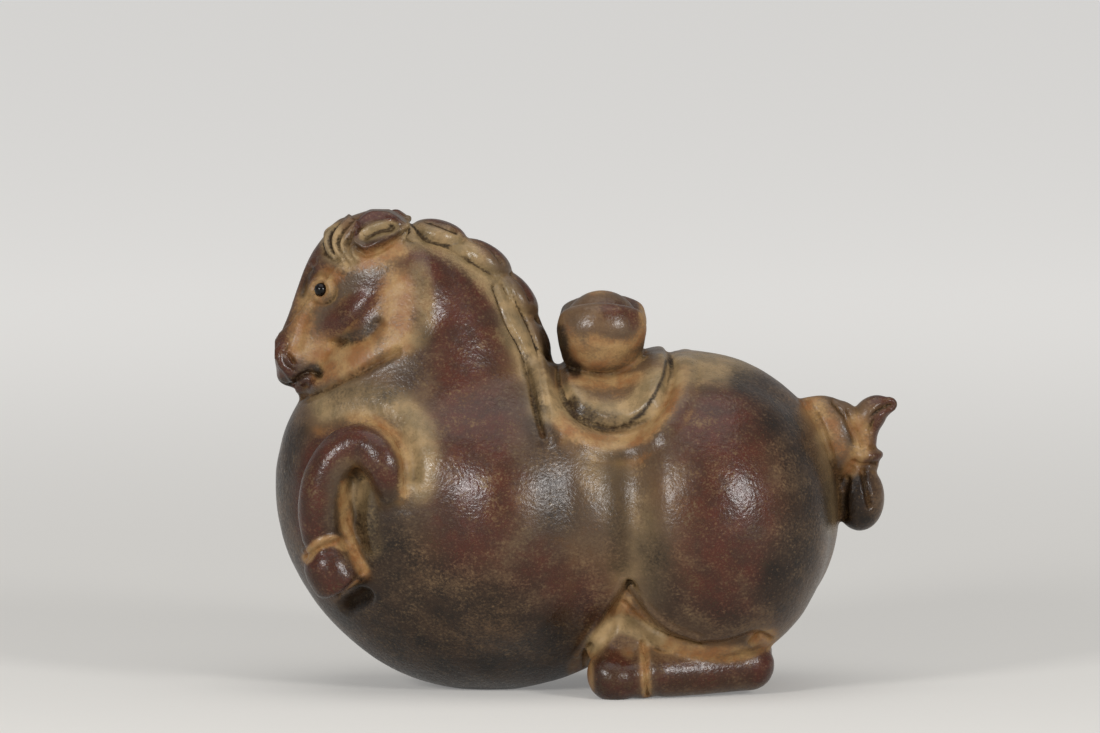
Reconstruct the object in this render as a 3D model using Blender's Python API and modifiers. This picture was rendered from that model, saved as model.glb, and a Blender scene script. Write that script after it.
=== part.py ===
"""Tea pet: a stout kneeling horse of fired clay, with an ingot on its saddle and two bead eyes.

The horse, its saddle, ingot and knotted tail are one hollow piece of stoneware. The two black
beads are set in sockets on the head. Lengths are in millimetres, angles in degrees, and the
finished meshes are scaled to metres. The head looks along -X, the back is up along +Z, the
base lies on Z = 0, and Y = 0 is the plane of symmetry.

The clay is worked as a potter would: lumps are welded into one skin and smoothed, smaller
pieces are added and smoothed less, and the fine marks are pressed in last.
"""

import math

import bmesh
import bpy
import numpy as np
from mathutils import Matrix, Vector
from mathutils.bvhtree import BVHTree

MM = 0.001
SIDES = (-1, 1)

# Trunk
BELLY_CENTRE = (-17.0, 0.0, 37.0)
BELLY_RADII = (38.7, 27.0, 38.6)
BELLY_CROWN = 21.5
SHOULDER_CENTRE = (-15.6, 9.0, 30.5)
SHOULDER_RADII = (20.6, 20.4, 25.5)
BARREL_CENTRE = (4.0, 0.0, 30.5)
BARREL_RADII = (22.0, 26.4, 26.5)
RUMP_CENTRE = (17.5, 0.0, 32.0)
RUMP_RADII = (28.4, 25.0, 28.0)
HAUNCH_CENTRE = (18.0, 8.0, 30.0)
HAUNCH_RADII = (25.2, 22.2, 26.8)
# Neck: height, front edge, back edge, half width
NECK = (
    (30.0, -52.0, -4.0, 25.0),
    (42.0, -54.4, -4.0, 22.5),
    (48.0, -52.8, -4.5, 20.0),
    (54.0, -49.2, -5.8, 17.8),
    (60.0, -46.0, -8.4, 15.6),
    (66.0, -43.5, -11.4, 13.4),
    (72.0, -41.0, -15.5, 11.4),
    (77.0, -38.0, -21.0, 9.2),
    (80.0, -35.0, -26.5, 5.5),
)

# Head: distance from the muzzle, brow side, throat side, half width
MUZZLE = (-53.0, 55.9)
POLL = (-34.2, 82.3)
HEAD = (
    (-1.0, 1.6, -4.0, 2.4),
    (0.6, 3.6, -5.6, 3.7),
    (3.6, 4.8, -7.6, 4.6),
    (8.5, 6.0, -9.8, 5.4),
    (13.5, 7.6, -12.4, 7.0),
    (18.8, 8.8, -14.6, 8.8),
    (24.5, 8.8, -15.6, 9.8),
    (28.5, 7.6, -13.8, 9.0),
    (32.0, 5.0, -9.6, 6.6),
    (34.2, 2.0, -4.6, 3.4),
)
NOSE_TAPER = 0.30
NOSTRIL_CENTRE = (-53.4, 2.7, 58.3)
NOSTRIL_RADII = (2.0, 1.7, 2.5)
UPPER_LIP_CENTRE = (-52.2, 0.0, 55.4)
UPPER_LIP_RADII = (3.0, 3.6, 2.2)
CHIN_CENTRE = (-49.0, 0.0, 53.0)
CHIN_RADII = (2.6, 3.0, 2.2)
EYE_PLACE = (-47.1, 71.1)
EYE_RADIUS = 1.2
EYE_SINK = 0.3
EAR_CENTRE = (-36.1, 7.4, 81.0)
EAR_RADII = (4.9, 1.9, 3.1)
EAR_PITCH = 18.0
EAR_LEAN = 24.0

# Forelegs: side-view place, radius, and how far the axis stands out of the chest
FORELEG = (
    (-34.6, 32.0, 1.8, -1.6),
    (-34.9, 38.4, 3.2, -0.1),
    (-35.7, 42.0, 3.6, 1.0),
    (-37.4, 44.5, 3.7, 1.5),
    (-40.2, 45.3, 3.7, 1.8),
    (-43.1, 44.0, 3.7, 2.0),
    (-45.5, 40.9, 3.8, 2.3),
    (-47.0, 36.9, 3.8, 2.6),
    (-47.6, 32.2, 3.7, 2.9),
    (-47.3, 28.4, 3.4, 3.0),
)
# Fore hoof: side-view place and radius of its top and of its sole
FORE_HOOF = ((-46.7, 25.6, 3.6), (-45.8, 23.6, 4.7), (-43.5, 19.4, 4.7))
FORE_HOOF_LIFT = 3.4
# Hind legs: place of the axis and radius
HIND_LEG = (
    (10.0, 18.8, 3.8, 4.7),
    (11.4, 18.4, 3.2, 3.8),
    (13.6, 17.6, 3.5, 4.3),
    (19.0, 15.8, 3.6, 4.2),
    (25.0, 13.4, 3.9, 4.2),
    (29.2, 11.4, 4.3, 4.6),
)
HIND_HOOF_CENTRE = (5.3, 19.0, 3.6)
HIND_HOOF_RADII = (5.0, 5.0, 5.1)
# Flank between the belly and the hind hoof
FLANK_CENTRE = (6.5, 14.6, 8.8)
FLANK_RADII = (6.6, 5.6, 6.0)

# Saddle: a round pad over the back, seen from the side, with a ridge round it
SADDLE_CENTRE = (4.6, 58.0)
PAD_RADIUS = 9.9
PAD_HEIGHT = 1.5
PAD_RIM = 0.6
RIM_WIDTH = 1.8
RIDGE_RADIUS = 13.0
RIDGE_WIDTH = 1.5
RIDGE_HEIGHT = 0.9
EDGE = 0.7

# Ingot: boat-shaped block across the saddle
INGOT_CENTRE = (3.0, 0.0, 54.6)
INGOT_HEIGHT = 13.6
INGOT_FOOT = (6.4, 8.6)
INGOT_BRIM = (7.8, 12.9)
INGOT_SQUARENESS = 2.4
INGOT_SMOOTHING = 8
INGOT_SCOOP_RADIUS = 9.0
INGOT_SCOOP_DEPTH = 3.0
INGOT_DOME_RADII = (6.0, 5.8, 7.4)
INGOT_DOME_RISE = 2.4

# Mane: locks down the crest, as place, radii and pitch
LOCKS = (
    ((-26.2, 0.0, 80.5), (5.2, 4.6, 2.7), -14.0),
    ((-18.1, 0.0, 76.1), (5.5, 5.0, 2.7), -32.0),
    ((-12.3, 0.0, 69.6), (5.3, 5.4, 2.7), -50.0),
    ((-9.2, 0.0, 61.9), (4.8, 5.8, 2.5), -62.0),
)

# Tail: places and radii
DOCK = (
    (37.6, 0.0, 48.0, 2.8),
    (42.8, 0.0, 48.5, 3.0),
    (46.2, 0.0, 46.2, 3.1),
    (48.4, 0.0, 43.0, 3.0),
    (49.8, 0.0, 39.6, 2.9),
)
TAIL_ROOT_CENTRE = (43.8, 0.0, 43.4)
TAIL_ROOT_RADII = (6.0, 4.2, 7.6)
TUFT = (
    (50.0, 0.0, 41.6, 2.1),
    (50.0, 0.0, 45.0, 2.3),
    (50.6, 0.0, 47.8, 2.9),
    (52.6, 0.0, 49.6, 2.3),
    (55.2, 0.0, 50.2, 0.8),
)
TAIL_BULB_CENTRE = (49.0, 0.0, 33.4)
TAIL_BULB_RADII = (4.6, 4.8, 6.1)
TAIL_BAND_CENTRE = (50.0, 0.0, 41.0)
TAIL_BAND_RADIUS = 2.5
TAIL_BAND_THICKNESS = 0.95

# Marks seen from the side: path, half width, and height, where less than 0 is a groove
WAIST = (((6.0, 50.0), (6.8, 40.0), (7.2, 30.0), (7.2, 20.0), (7.0, 10.0)), 7.0, -1.5)
JAW = (
    (-50.3, 51.5), (-44.0, 55.1), (-40.5, 56.9), (-36.0, 59.6), (-32.4, 61.4), (-28.8, 64.1),
    (-26.2, 67.7), (-25.6, 72.2), (-27.1, 76.3), (-29.7, 79.3), (-40.0, 80.0), (-56.0, 60.0),
)
JAW_HEIGHT = 1.0
JAW_EDGE = 1.4
CHEEK = ((-40.5, 67.2), (5.8, 2.7), 45.0, 1.2)
FORM_MARKS = (
    WAIST,
    # Mane strand that runs into the saddle
    (((-18.6, 76.0), (-14.4, 69.2), (-11.2, 62.6), (-8.6, 56.4), (-7.4, 50.6), (-6.4, 46.6)), 2.6, 1.1),
    # Web between the leg and the chest
    (((-40.0, 39.6), (-41.8, 33.0), (-40.6, 27.0)), 2.4, -1.3),
    # Outer edge of the foreleg
    (((-47.0, 47.0), (-41.0, 50.2), (-35.4, 48.6), (-31.8, 44.0), (-31.2, 38.0), (-32.0, 33.6)), 1.5, -0.7),
    # Recess over the hind hoof
    (((7.2, 19.0), (3.6, 12.0), (0.4, 7.0)), 1.8, -1.0),
    (((7.2, 19.0), (11.2, 12.2), (17.0, 9.2), (24.0, 8.6), (30.0, 10.4)), 1.6, -0.9),
)
FINE_MARKS = (
    # Jaw, cheek and face
    (((-50.3, 51.3), (-44.0, 54.9), (-38.0, 58.2), (-32.4, 61.2), (-28.8, 63.9)), 1.0, -0.6),
    (((-36.3, 67.7), (-38.3, 64.1), (-41.3, 61.9), (-44.9, 61.8)), 1.2, -0.7),
    (((-50.1, 71.3), (-49.7, 73.8), (-48.3, 75.6)), 0.9, -0.5),
    (((-48.2, 75.2), (-45.8, 76.0), (-43.1, 75.4)), 1.3, 0.6),
    (((-48.5, 69.5), (-50.3, 64.1), (-51.2, 60.5)), 1.3, -0.35),
    (((-55.2, 54.2), (-52.6, 54.1), (-51.2, 55.7), (-49.4, 56.6), (-47.6, 56.4)), 0.9, -0.8),
    (((-53.0, 59.2), (-52.4, 58.6)), 0.9, -0.7),
    # Forelock
    (((-43.6, 82.4), (-45.8, 80.3), (-45.6, 78.1), (-44.4, 76.7)), 0.8, 0.7),
    (((-42.2, 82.4), (-44.3, 80.3), (-44.1, 78.1), (-43.1, 76.7)), 0.8, 0.7),
    (((-40.9, 82.2), (-42.8, 80.0), (-42.6, 78.0), (-41.8, 76.6)), 0.8, 0.7),
    (((-40.0, 80.8), (-41.4, 79.2), (-41.1, 77.2)), 0.8, 0.7),
    # Ear
    (((-39.4, 80.2), (-36.6, 81.6), (-33.2, 82.2)), 1.5, -1.3),
    (((-40.2, 78.2), (-36.4, 78.0), (-32.4, 79.4)), 1.1, -0.6),
    # Locks of the mane
    (((-28.2, 82.6), (-25.4, 82.3), (-22.6, 81.2)), 0.8, -0.6),
    (((-20.4, 79.0), (-17.4, 77.4), (-15.2, 75.0)), 0.8, -0.6),
    (((-13.6, 72.8), (-11.2, 70.6), (-10.0, 68.0)), 0.8, -0.6),
    (((-8.6, 65.4), (-6.8, 63.2), (-6.2, 60.2)), 0.8, -0.6),
    (((-16.4, 70.6), (-13.8, 63.4), (-10.8, 57.4), (-9.4, 51.4), (-8.8, 46.4)), 0.9, -0.7),
    # Tail strands
    (((46.6, 48.4), (48.2, 45.6), (49.4, 43.0)), 0.8, -0.7),
    (((43.6, 49.6), (46.0, 46.4), (48.4, 42.6)), 0.8, -0.5),
    (((40.6, 49.6), (43.8, 45.0), (46.4, 41.0)), 0.8, -0.5),
    (((47.2, 38.2), (46.6, 34.0), (47.2, 30.0)), 0.8, -0.5),
    (((50.2, 38.2), (50.8, 34.0), (50.2, 30.0)), 0.8, -0.6),
    # Hoof edges
    (((-49.6, 24.6), (-46.6, 26.6), (-43.4, 27.0)), 0.9, -0.6),
    (((10.9, 8.4), (11.1, 4.0), (10.9, 0.0)), 1.0, -0.7),
)

# Hollow: lumps of the cavity as centre and radii
CAVITY = (
    ((-16.5, 0.0, 31.5), (30.0, 20.0, 25.0)),
    ((-24.0, 0.0, 50.0), (15.0, 11.0, 16.0)),
    ((16.5, 0.0, 31.0), (23.5, 22.0, 22.5)),
)
VENT_PLACE = (15.0, 0.0)
VENT_RADIUS = 4.0

FLOOR = -0.8
SEAT_GAP = 0.3
FORM_VOXEL = 0.8
SKIN_VOXEL = 0.6
SKIN_TRIANGLES = 9800
CAVITY_TRIANGLES = 800


def smooth_rows(rows, steps):
    """Rows of numbers with Catmull-Rom rows between them."""
    rows = np.array(rows, float)
    ends = np.vstack([2 * rows[0] - rows[1], rows, 2 * rows[-1] - rows[-2]])
    out = []
    for before, start, stop, after in zip(ends, ends[1:], ends[2:], ends[3:]):
        for t in np.arange(steps) / steps:
            out.append(
                0.5 * (2 * start + (stop - before) * t
                       + (2 * before - 5 * start + 4 * stop - after) * t**2
                       + (3 * start - before - 3 * stop + after) * t**3)
            )
    out.append(rows[-1])
    return np.array(out)


def ball(centre, radii, pitch=0.0, crown=None, roll=0.0, across=48, up=32):
    """A ball or egg as a mesh. The pitch lifts its +X end, and the crown is its upper radius."""
    turn = Matrix.Rotation(-math.radians(pitch), 4, "Y") @ Matrix.Rotation(math.radians(roll), 4, "X")
    lump = bmesh.new()
    bmesh.ops.create_uvsphere(lump, u_segments=across, v_segments=up, radius=1.0)
    for vert in lump.verts:
        if crown and vert.co.z > 0:
            vert.co.z *= crown / radii[2]
        vert.co = turn @ Vector(a * b for a, b in zip(vert.co, radii)) + Vector(centre)
    return as_mesh(lump)


def add_ball(clay, *args, **kwargs):
    add_mesh(clay, ball(*args, **kwargs))


def add_mesh(clay, mesh):
    clay.from_mesh(mesh)
    bpy.data.meshes.remove(mesh)


def add_loft(clay, rings):
    """A closed skin over rings of points, with a flat cap at each end."""
    rows = [[clay.verts.new(point) for point in ring] for ring in rings]
    count = len(rows[0])
    for low, high in zip(rows, rows[1:]):
        for i in range(count):
            j = (i + 1) % count
            clay.faces.new((low[i], low[j], high[j], high[i]))
    clay.faces.new(reversed(rows[0]))
    clay.faces.new(rows[-1])


def add_roll(clay, rows):
    """A roll of clay with round ends, along rows of x, y, z and radius."""
    rows = smooth_rows(rows, 6)
    curve = bpy.data.curves.new("roll", "CURVE")
    curve.dimensions = "3D"
    curve.bevel_depth = 1.0
    curve.bevel_resolution = 5
    curve.use_fill_caps = True
    spline = curve.splines.new("POLY")
    spline.points.add(len(rows) - 1)
    for point, row in zip(spline.points, rows):
        point.co = (*row[:3], 1.0)
        point.radius = row[3]
    add_mesh(clay, baked(as_object(curve, "roll")))
    bpy.data.curves.remove(curve)
    for row in (rows[0], rows[-1]):
        add_ball(clay, row[:3], (row[3],) * 3)


def baked(obj):
    """The object's mesh as its modifiers leave it. The object is removed."""
    bpy.context.view_layer.update()
    mesh = bpy.data.meshes.new_from_object(obj.evaluated_get(bpy.context.evaluated_depsgraph_get()))
    bpy.data.objects.remove(obj)
    return mesh


def as_object(data, name="clay"):
    obj = bpy.data.objects.new(name, data)
    bpy.context.scene.collection.objects.link(obj)
    return obj


def as_mesh(clay):
    """The clay as a mesh with its faces outwards."""
    bmesh.ops.recalc_face_normals(clay, faces=clay.faces)
    mesh = bpy.data.meshes.new("clay")
    clay.to_mesh(mesh)
    clay.free()
    return mesh


def weld(clay, voxel, smoothing):
    """One skin over all the lumps in the clay, smoothed so many times. Returns a mesh."""
    obj = as_object(as_mesh(clay))
    remesh = obj.modifiers.new("weld", "REMESH")
    remesh.mode = "VOXEL"
    remesh.voxel_size = voxel
    smooth = obj.modifiers.new("smooth", "SMOOTH")
    smooth.factor = 0.5
    smooth.iterations = smoothing
    return baked(obj)


def cut(mesh, cutter):
    """The mesh with the cutter's volume taken out of it."""
    tool, obj = as_object(cutter, "cutter"), as_object(mesh)
    boolean = obj.modifiers.new("cut", "BOOLEAN")
    boolean.operation = "DIFFERENCE"
    boolean.solver = "EXACT"
    boolean.object = tool
    result = baked(obj)
    bpy.data.objects.remove(tool)
    return result


def thinned(mesh, triangles):
    """The mesh collapsed to about so many triangles."""
    mesh.calc_loop_triangles()
    obj = as_object(mesh)
    decimate = obj.modifiers.new("thin", "DECIMATE")
    decimate.ratio = triangles / len(mesh.loop_triangles)
    decimate.use_collapse_triangulate = True
    return baked(obj)


def cylinder(start, end, radius, segments=32):
    """A closed cylinder between two places."""
    start, end = Vector(start), Vector(end)
    axis = end - start
    turn = Matrix.Translation((start + end) / 2) @ axis.to_track_quat("Z", "Y").to_matrix().to_4x4()
    lump = bmesh.new()
    bmesh.ops.create_cone(
        lump, cap_ends=True, segments=segments, radius1=radius, radius2=radius, depth=axis.length, matrix=turn
    )
    return as_mesh(lump)


def ring_angles(count=48):
    return [2 * math.pi * i / count for i in range(count)]


def skin_tree(mesh):
    skin = bmesh.new()
    skin.from_mesh(mesh)
    tree = BVHTree.FromBMesh(skin)
    skin.free()
    return tree


def side_of(tree, x, z):
    """Half width of a skin at a side-view place, or 0 where it has none."""
    hit = tree.ray_cast(Vector((x, -200.0, z)), Vector((0.0, 1.0, 0.0)))[0]
    return -hit.y if hit else 0.0


def neck_rings():
    for z, front, back, half_width in smooth_rows(NECK, 4):
        middle, reach = (front + back) / 2, (back - front) / 2
        yield [(middle + reach * math.cos(a), half_width * math.sin(a), z) for a in ring_angles()]


def head_rings():
    muzzle, poll = Vector((MUZZLE[0], 0, MUZZLE[1])), Vector((POLL[0], 0, POLL[1]))
    along = (poll - muzzle).normalized()
    brow_side = Vector((-along.z, 0, along.x))
    for s, brow, throat, half_width in smooth_rows(HEAD, 4):
        middle, reach = (brow + throat) / 2, (brow - throat) / 2
        ring = []
        for a in ring_angles():
            up = math.cos(a)
            side = math.sin(a) * half_width * (1 - NOSE_TAPER * up)
            ring.append(muzzle + along * s + brow_side * (middle + reach * up) + Vector((0, side, 0)))
        yield ring


def trunk(voxel):
    clay = bmesh.new()
    add_ball(clay, BELLY_CENTRE, BELLY_RADII, crown=BELLY_CROWN)
    add_ball(clay, BARREL_CENTRE, BARREL_RADII)
    add_ball(clay, RUMP_CENTRE, RUMP_RADII)
    for side in SIDES:
        for centre, radii in ((HAUNCH_CENTRE, HAUNCH_RADII), (SHOULDER_CENTRE, SHOULDER_RADII)):
            add_ball(clay, (centre[0], side * centre[1], centre[2]), radii)
    add_loft(clay, neck_rings())
    return weld(clay, voxel, round(52 / voxel**2))


def add_head(clay):
    add_loft(clay, head_rings())
    add_ball(clay, UPPER_LIP_CENTRE, UPPER_LIP_RADII)
    add_ball(clay, CHIN_CENTRE, CHIN_RADII)
    for side in SIDES:
        x, y, z = NOSTRIL_CENTRE
        add_ball(clay, (x, side * y, z), NOSTRIL_RADII)


def add_forelegs(clay, tree):
    for side in SIDES:
        add_roll(clay, [(x, side * (side_of(tree, x, z) + lift), z, r) for x, z, r, lift in FORELEG])
        top, _, sole = FORE_HOOF
        y = side * (side_of(tree, sole[0], sole[1]) + FORE_HOOF_LIFT)
        along = Vector((sole[0] - top[0], 0, sole[1] - top[1])).normalized()
        across = Vector((-along.z, 0, along.x))
        rings = []
        for x, z, radius in smooth_rows(FORE_HOOF, 3):
            place = Vector((x, y, z))
            rings.append([place + (across * math.cos(a) + Vector((0, math.sin(a), 0))) * float(radius)
                          for a in ring_angles()])
        add_loft(clay, rings)


def add_hind_legs(clay):
    for side in SIDES:
        add_roll(clay, [(x, side * y, z, radius) for x, y, z, radius in HIND_LEG])
        for (x, y, z), radii in ((HIND_HOOF_CENTRE, HIND_HOOF_RADII), (FLANK_CENTRE, FLANK_RADII)):
            add_ball(clay, (x, side * y, z), radii)


def add_ears(clay):
    for side in SIDES:
        x, y, z = EAR_CENTRE
        add_ball(clay, (x, side * y, z), EAR_RADII, pitch=EAR_PITCH, roll=side * EAR_LEAN)


def add_mane(clay):
    for centre, radii, pitch in LOCKS:
        add_ball(clay, centre, radii, pitch=pitch)


def ingot(voxel):
    """A flared block with a scooped top and a dome in the scoop."""
    cx, cy, cz = INGOT_CENTRE
    block = bmesh.new()
    rings = []
    for t in np.linspace(0, 1, 12):
        half_x = INGOT_FOOT[0] + (INGOT_BRIM[0] - INGOT_FOOT[0]) * math.sin(t * math.pi / 2)
        half_y = INGOT_FOOT[1] + (INGOT_BRIM[1] - INGOT_FOOT[1]) * t**1.6
        ring = []
        for a in ring_angles():
            c, s = math.cos(a), math.sin(a)
            square = (abs(c) ** INGOT_SQUARENESS + abs(s) ** INGOT_SQUARENESS) ** (-1 / INGOT_SQUARENESS)
            ring.append((cx + half_x * c * square, cy + half_y * s * square, cz + INGOT_HEIGHT * t))
        rings.append(ring)
    add_loft(block, rings)
    top = cz + INGOT_HEIGHT - INGOT_SCOOP_DEPTH + INGOT_SCOOP_RADIUS
    reach = 2 * INGOT_BRIM[0]
    scoop = cylinder((cx - reach, cy, top), (cx + reach, cy, top), INGOT_SCOOP_RADIUS, 64)
    clay = bmesh.new()
    add_mesh(clay, cut(as_mesh(block), scoop))
    add_ball(clay, (cx, cy, cz + INGOT_HEIGHT - INGOT_DOME_RADII[2] + INGOT_DOME_RISE), INGOT_DOME_RADII)
    return weld(clay, voxel, round(INGOT_SMOOTHING / voxel**2))


def add_tail(clay):
    add_roll(clay, DOCK)
    add_roll(clay, TUFT)
    add_ball(clay, TAIL_ROOT_CENTRE, TAIL_ROOT_RADII, pitch=-24)
    add_ball(clay, TAIL_BULB_CENTRE, TAIL_BULB_RADII)
    x, y, z = TAIL_BAND_CENTRE
    add_roll(clay, [
        (x + TAIL_BAND_RADIUS * math.cos(a), y + TAIL_BAND_RADIUS * math.sin(a), z, TAIL_BAND_THICKNESS)
        for a in ring_angles(12) + [0.0]
    ])


def falloff(share):
    """A bell that is 1 at 0 and 0 from 1 on."""
    return np.clip(1 - share**2, 0, 1) ** 2


def step(value, low, high):
    t = np.clip((value - low) / (high - low), 0, 1)
    return t * t * (3 - 2 * t)


def path_reach(x, z, path):
    """Distance in the side view of each point from a path."""
    best = np.full(len(x), np.inf)
    for (ax, az), (bx, bz) in zip(path, path[1:]):
        dx, dz = bx - ax, bz - az
        t = np.clip(((x - ax) * dx + (z - az) * dz) / (dx * dx + dz * dz), 0, 1)
        best = np.minimum(best, np.hypot(x - ax - t * dx, z - az - t * dz))
    return best


def inside(x, z, path):
    """Whether each point is inside a closed path, in the side view."""
    odd = np.zeros(len(x), bool)
    for (ax, az), (bx, bz) in zip(path, path[1:] + path[:1]):
        if az != bz:
            odd ^= ((az > z) != (bz > z)) & (x < (bx - ax) * (z - az) / (bz - az) + ax)
    return odd


def marks_height(points, marks):
    height = np.zeros(len(points))
    for path, width, depth in marks:
        path = [tuple(row) for row in smooth_rows(path, 4)] if len(path) > 2 else path
        height += depth * falloff(path_reach(points[:, 0], points[:, 2], path) / width)
    return height


def saddle_reach(points):
    """Distance in the side view of each point from the middle of the saddle."""
    return np.hypot(points[:, 0] - SADDLE_CENTRE[0], points[:, 2] - SADDLE_CENTRE[1])


def pad_height(points):
    """How far the saddle pad and its rim stand out, over the back as well."""
    reach = saddle_reach(points)
    height = PAD_HEIGHT * (1 - step(reach, PAD_RADIUS - EDGE, PAD_RADIUS + EDGE))
    return height + PAD_RIM * falloff((reach - PAD_RADIUS + RIM_WIDTH) / RIM_WIDTH)


def form_height(points):
    """How far the ridge, jaw, cheek and the broad marks stand out of the body."""
    x, z = points[:, 0], points[:, 2]
    height = RIDGE_HEIGHT * falloff((saddle_reach(points) - RIDGE_RADIUS) / RIDGE_WIDTH)
    side = np.where(inside(x, z, JAW), 1, -1) * path_reach(x, z, JAW[:10])
    height += JAW_HEIGHT * step(side, -JAW_EDGE, JAW_EDGE) * (x < -24) * (z > 50)
    (cx, cz), (long, short), pitch, rise = CHEEK
    c, s = math.cos(math.radians(pitch)), math.sin(math.radians(pitch))
    along, across = (x - cx) * c + (z - cz) * s, (z - cz) * c - (x - cx) * s
    height += rise * falloff(np.hypot(along / long, across / short))
    return height + marks_height(points, FORM_MARKS)


def fine_height(points):
    return marks_height(points, FINE_MARKS)


def pressed(mesh, height_of, facing=True):
    """The mesh with each point moved out along its normal by the height there."""
    count = len(mesh.vertices)
    points, normals = np.empty(3 * count, np.float32), np.empty(3 * count, np.float32)
    mesh.vertices.foreach_get("co", points)
    mesh.vertex_normals.foreach_get("vector", normals)
    points, normals = points.reshape(-1, 3).astype(float), normals.reshape(-1, 3).astype(float)
    height = height_of(points)
    if facing:
        height = height * step(np.abs(normals[:, 1]), 0.1, 0.4)
    points += normals * height[:, None]
    mesh.vertices.foreach_set("co", points.astype(np.float32).ravel())
    mesh.update()
    return mesh


def horse_skin(form_voxel, skin_voxel):
    """The whole horse as one skin, and the places of its eyes."""
    base = trunk(1.2)
    tree = skin_tree(base)
    clay = bmesh.new()
    add_head(clay)
    add_hind_legs(clay)
    add_forelegs(clay, tree)
    add_mesh(clay, base)
    body = pressed(weld(clay, form_voxel, round(3 / form_voxel**2)), form_height)
    body = pressed(body, pad_height, facing=False)
    tree = skin_tree(body)
    eye = (EYE_PLACE[0], side_of(tree, *EYE_PLACE) - EYE_SINK, EYE_PLACE[1])
    clay = bmesh.new()
    add_ears(clay)
    add_mane(clay)
    add_mesh(clay, ingot(skin_voxel))
    add_tail(clay)
    add_mesh(clay, body)
    return pressed(weld(clay, skin_voxel, round(1.1 / skin_voxel**2)), fine_height), eye


def cavity():
    clay = bmesh.new()
    for centre, radii in CAVITY:
        add_ball(clay, centre, radii)
    return thinned(weld(clay, 2.0, 6), CAVITY_TRIANGLES)


def floor_block():
    lump = bmesh.new()
    bmesh.ops.create_cube(lump, size=200.0, matrix=Matrix.Translation((0, 0, FLOOR - 100.0)))
    return as_mesh(lump)


def material(name, colour, roughness, metallic=0.0):
    made = bpy.data.materials.new(name)
    made.use_nodes = True
    surface = made.node_tree.nodes["Principled BSDF"]
    linear = [v / 12.92 if v <= 0.04045 else ((v + 0.055) / 1.055) ** 2.4
              for v in (int(colour[i:i + 2], 16) / 255 for i in (0, 2, 4))]
    surface.inputs["Base Color"].default_value = (*linear, 1.0)
    surface.inputs["Roughness"].default_value = roughness
    surface.inputs["Metallic"].default_value = metallic
    made.diffuse_color = (*linear, 1.0)
    return made


def finished(mesh, name, surface, shift, collection):
    """A node of the object: the mesh moved into place, in metres."""
    mesh.transform(Matrix.Scale(MM, 4) @ Matrix.Translation(shift))
    mesh.name = name
    mesh.materials.clear()
    mesh.materials.append(surface)
    mesh.shade_smooth()
    collection.objects.link(bpy.data.objects.new(name, mesh))


def main():
    for obj in list(bpy.data.objects):
        bpy.data.objects.remove(obj)
    collection = bpy.data.collections.new("tea_pet")
    bpy.context.scene.collection.children.link(collection)
    skin, eye = horse_skin(FORM_VOXEL, SKIN_VOXEL)
    horse = thinned(skin, SKIN_TRIANGLES)
    horse = cut(horse, cavity())
    x, y = VENT_PLACE
    horse = cut(horse, cylinder((x, y, FLOOR - 5.0), (x, y, CAVITY[2][0][2]), VENT_RADIUS))
    horse = cut(horse, floor_block())
    eyes = {}
    for side, name in zip(SIDES, ("eye_left", "eye_right")):
        place = (eye[0], side * eye[1], eye[2])
        horse = cut(horse, ball(place, (EYE_RADIUS + SEAT_GAP,) * 3, across=24, up=16))
        eyes[name] = ball(place, (EYE_RADIUS,) * 3, across=24, up=16)
    xs = [vert.co.x for vert in horse.vertices]
    shift = Vector((-(min(xs) + max(xs)) / 2, 0.0, -FLOOR))
    finished(horse, "horse", material("stoneware_clay", "5b4032", 0.42), shift, collection)
    bead = material("black_glaze_bead", "0c0a0a", 0.08)
    for name, mesh in eyes.items():
        finished(mesh, name, bead, shift, collection)


main()
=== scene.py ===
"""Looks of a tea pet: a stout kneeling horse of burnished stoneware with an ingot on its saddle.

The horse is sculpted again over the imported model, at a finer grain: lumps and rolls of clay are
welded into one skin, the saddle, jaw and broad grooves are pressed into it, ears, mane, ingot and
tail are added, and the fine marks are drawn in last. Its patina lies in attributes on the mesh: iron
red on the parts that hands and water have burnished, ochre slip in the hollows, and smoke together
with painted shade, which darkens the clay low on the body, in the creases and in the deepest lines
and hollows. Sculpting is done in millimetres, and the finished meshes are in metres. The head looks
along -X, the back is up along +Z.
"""
import math

import bmesh
import bpy
import numpy as np
from bpy.props import FloatProperty, FloatVectorProperty, IntProperty, PointerProperty
from mathutils import Matrix, Vector
from mathutils.bvhtree import BVHTree
from mathutils.kdtree import KDTree


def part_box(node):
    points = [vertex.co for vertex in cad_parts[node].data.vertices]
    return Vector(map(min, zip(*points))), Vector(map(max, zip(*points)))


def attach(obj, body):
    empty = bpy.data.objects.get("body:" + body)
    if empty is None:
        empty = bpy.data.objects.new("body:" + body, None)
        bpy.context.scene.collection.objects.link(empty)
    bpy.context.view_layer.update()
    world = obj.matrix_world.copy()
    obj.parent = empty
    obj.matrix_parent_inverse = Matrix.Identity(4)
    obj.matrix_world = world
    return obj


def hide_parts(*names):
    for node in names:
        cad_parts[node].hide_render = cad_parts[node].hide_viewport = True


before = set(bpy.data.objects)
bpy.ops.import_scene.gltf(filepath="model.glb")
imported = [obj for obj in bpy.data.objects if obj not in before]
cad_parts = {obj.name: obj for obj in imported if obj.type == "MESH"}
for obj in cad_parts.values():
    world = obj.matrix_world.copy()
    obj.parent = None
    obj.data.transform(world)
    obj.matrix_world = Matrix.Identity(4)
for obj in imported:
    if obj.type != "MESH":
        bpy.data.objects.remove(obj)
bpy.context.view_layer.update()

bl_info = {
    "name": "Tea Pet Horse",
    "version": (1, 0, 0),
    "blender": (4, 5, 0),
    "location": "3D View > Sidebar > Tea Pet",
    "description": "Sculpts a kneeling clay horse with bead eyes and sets it on a pale stage",
    "category": "Add Mesh",
}

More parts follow.
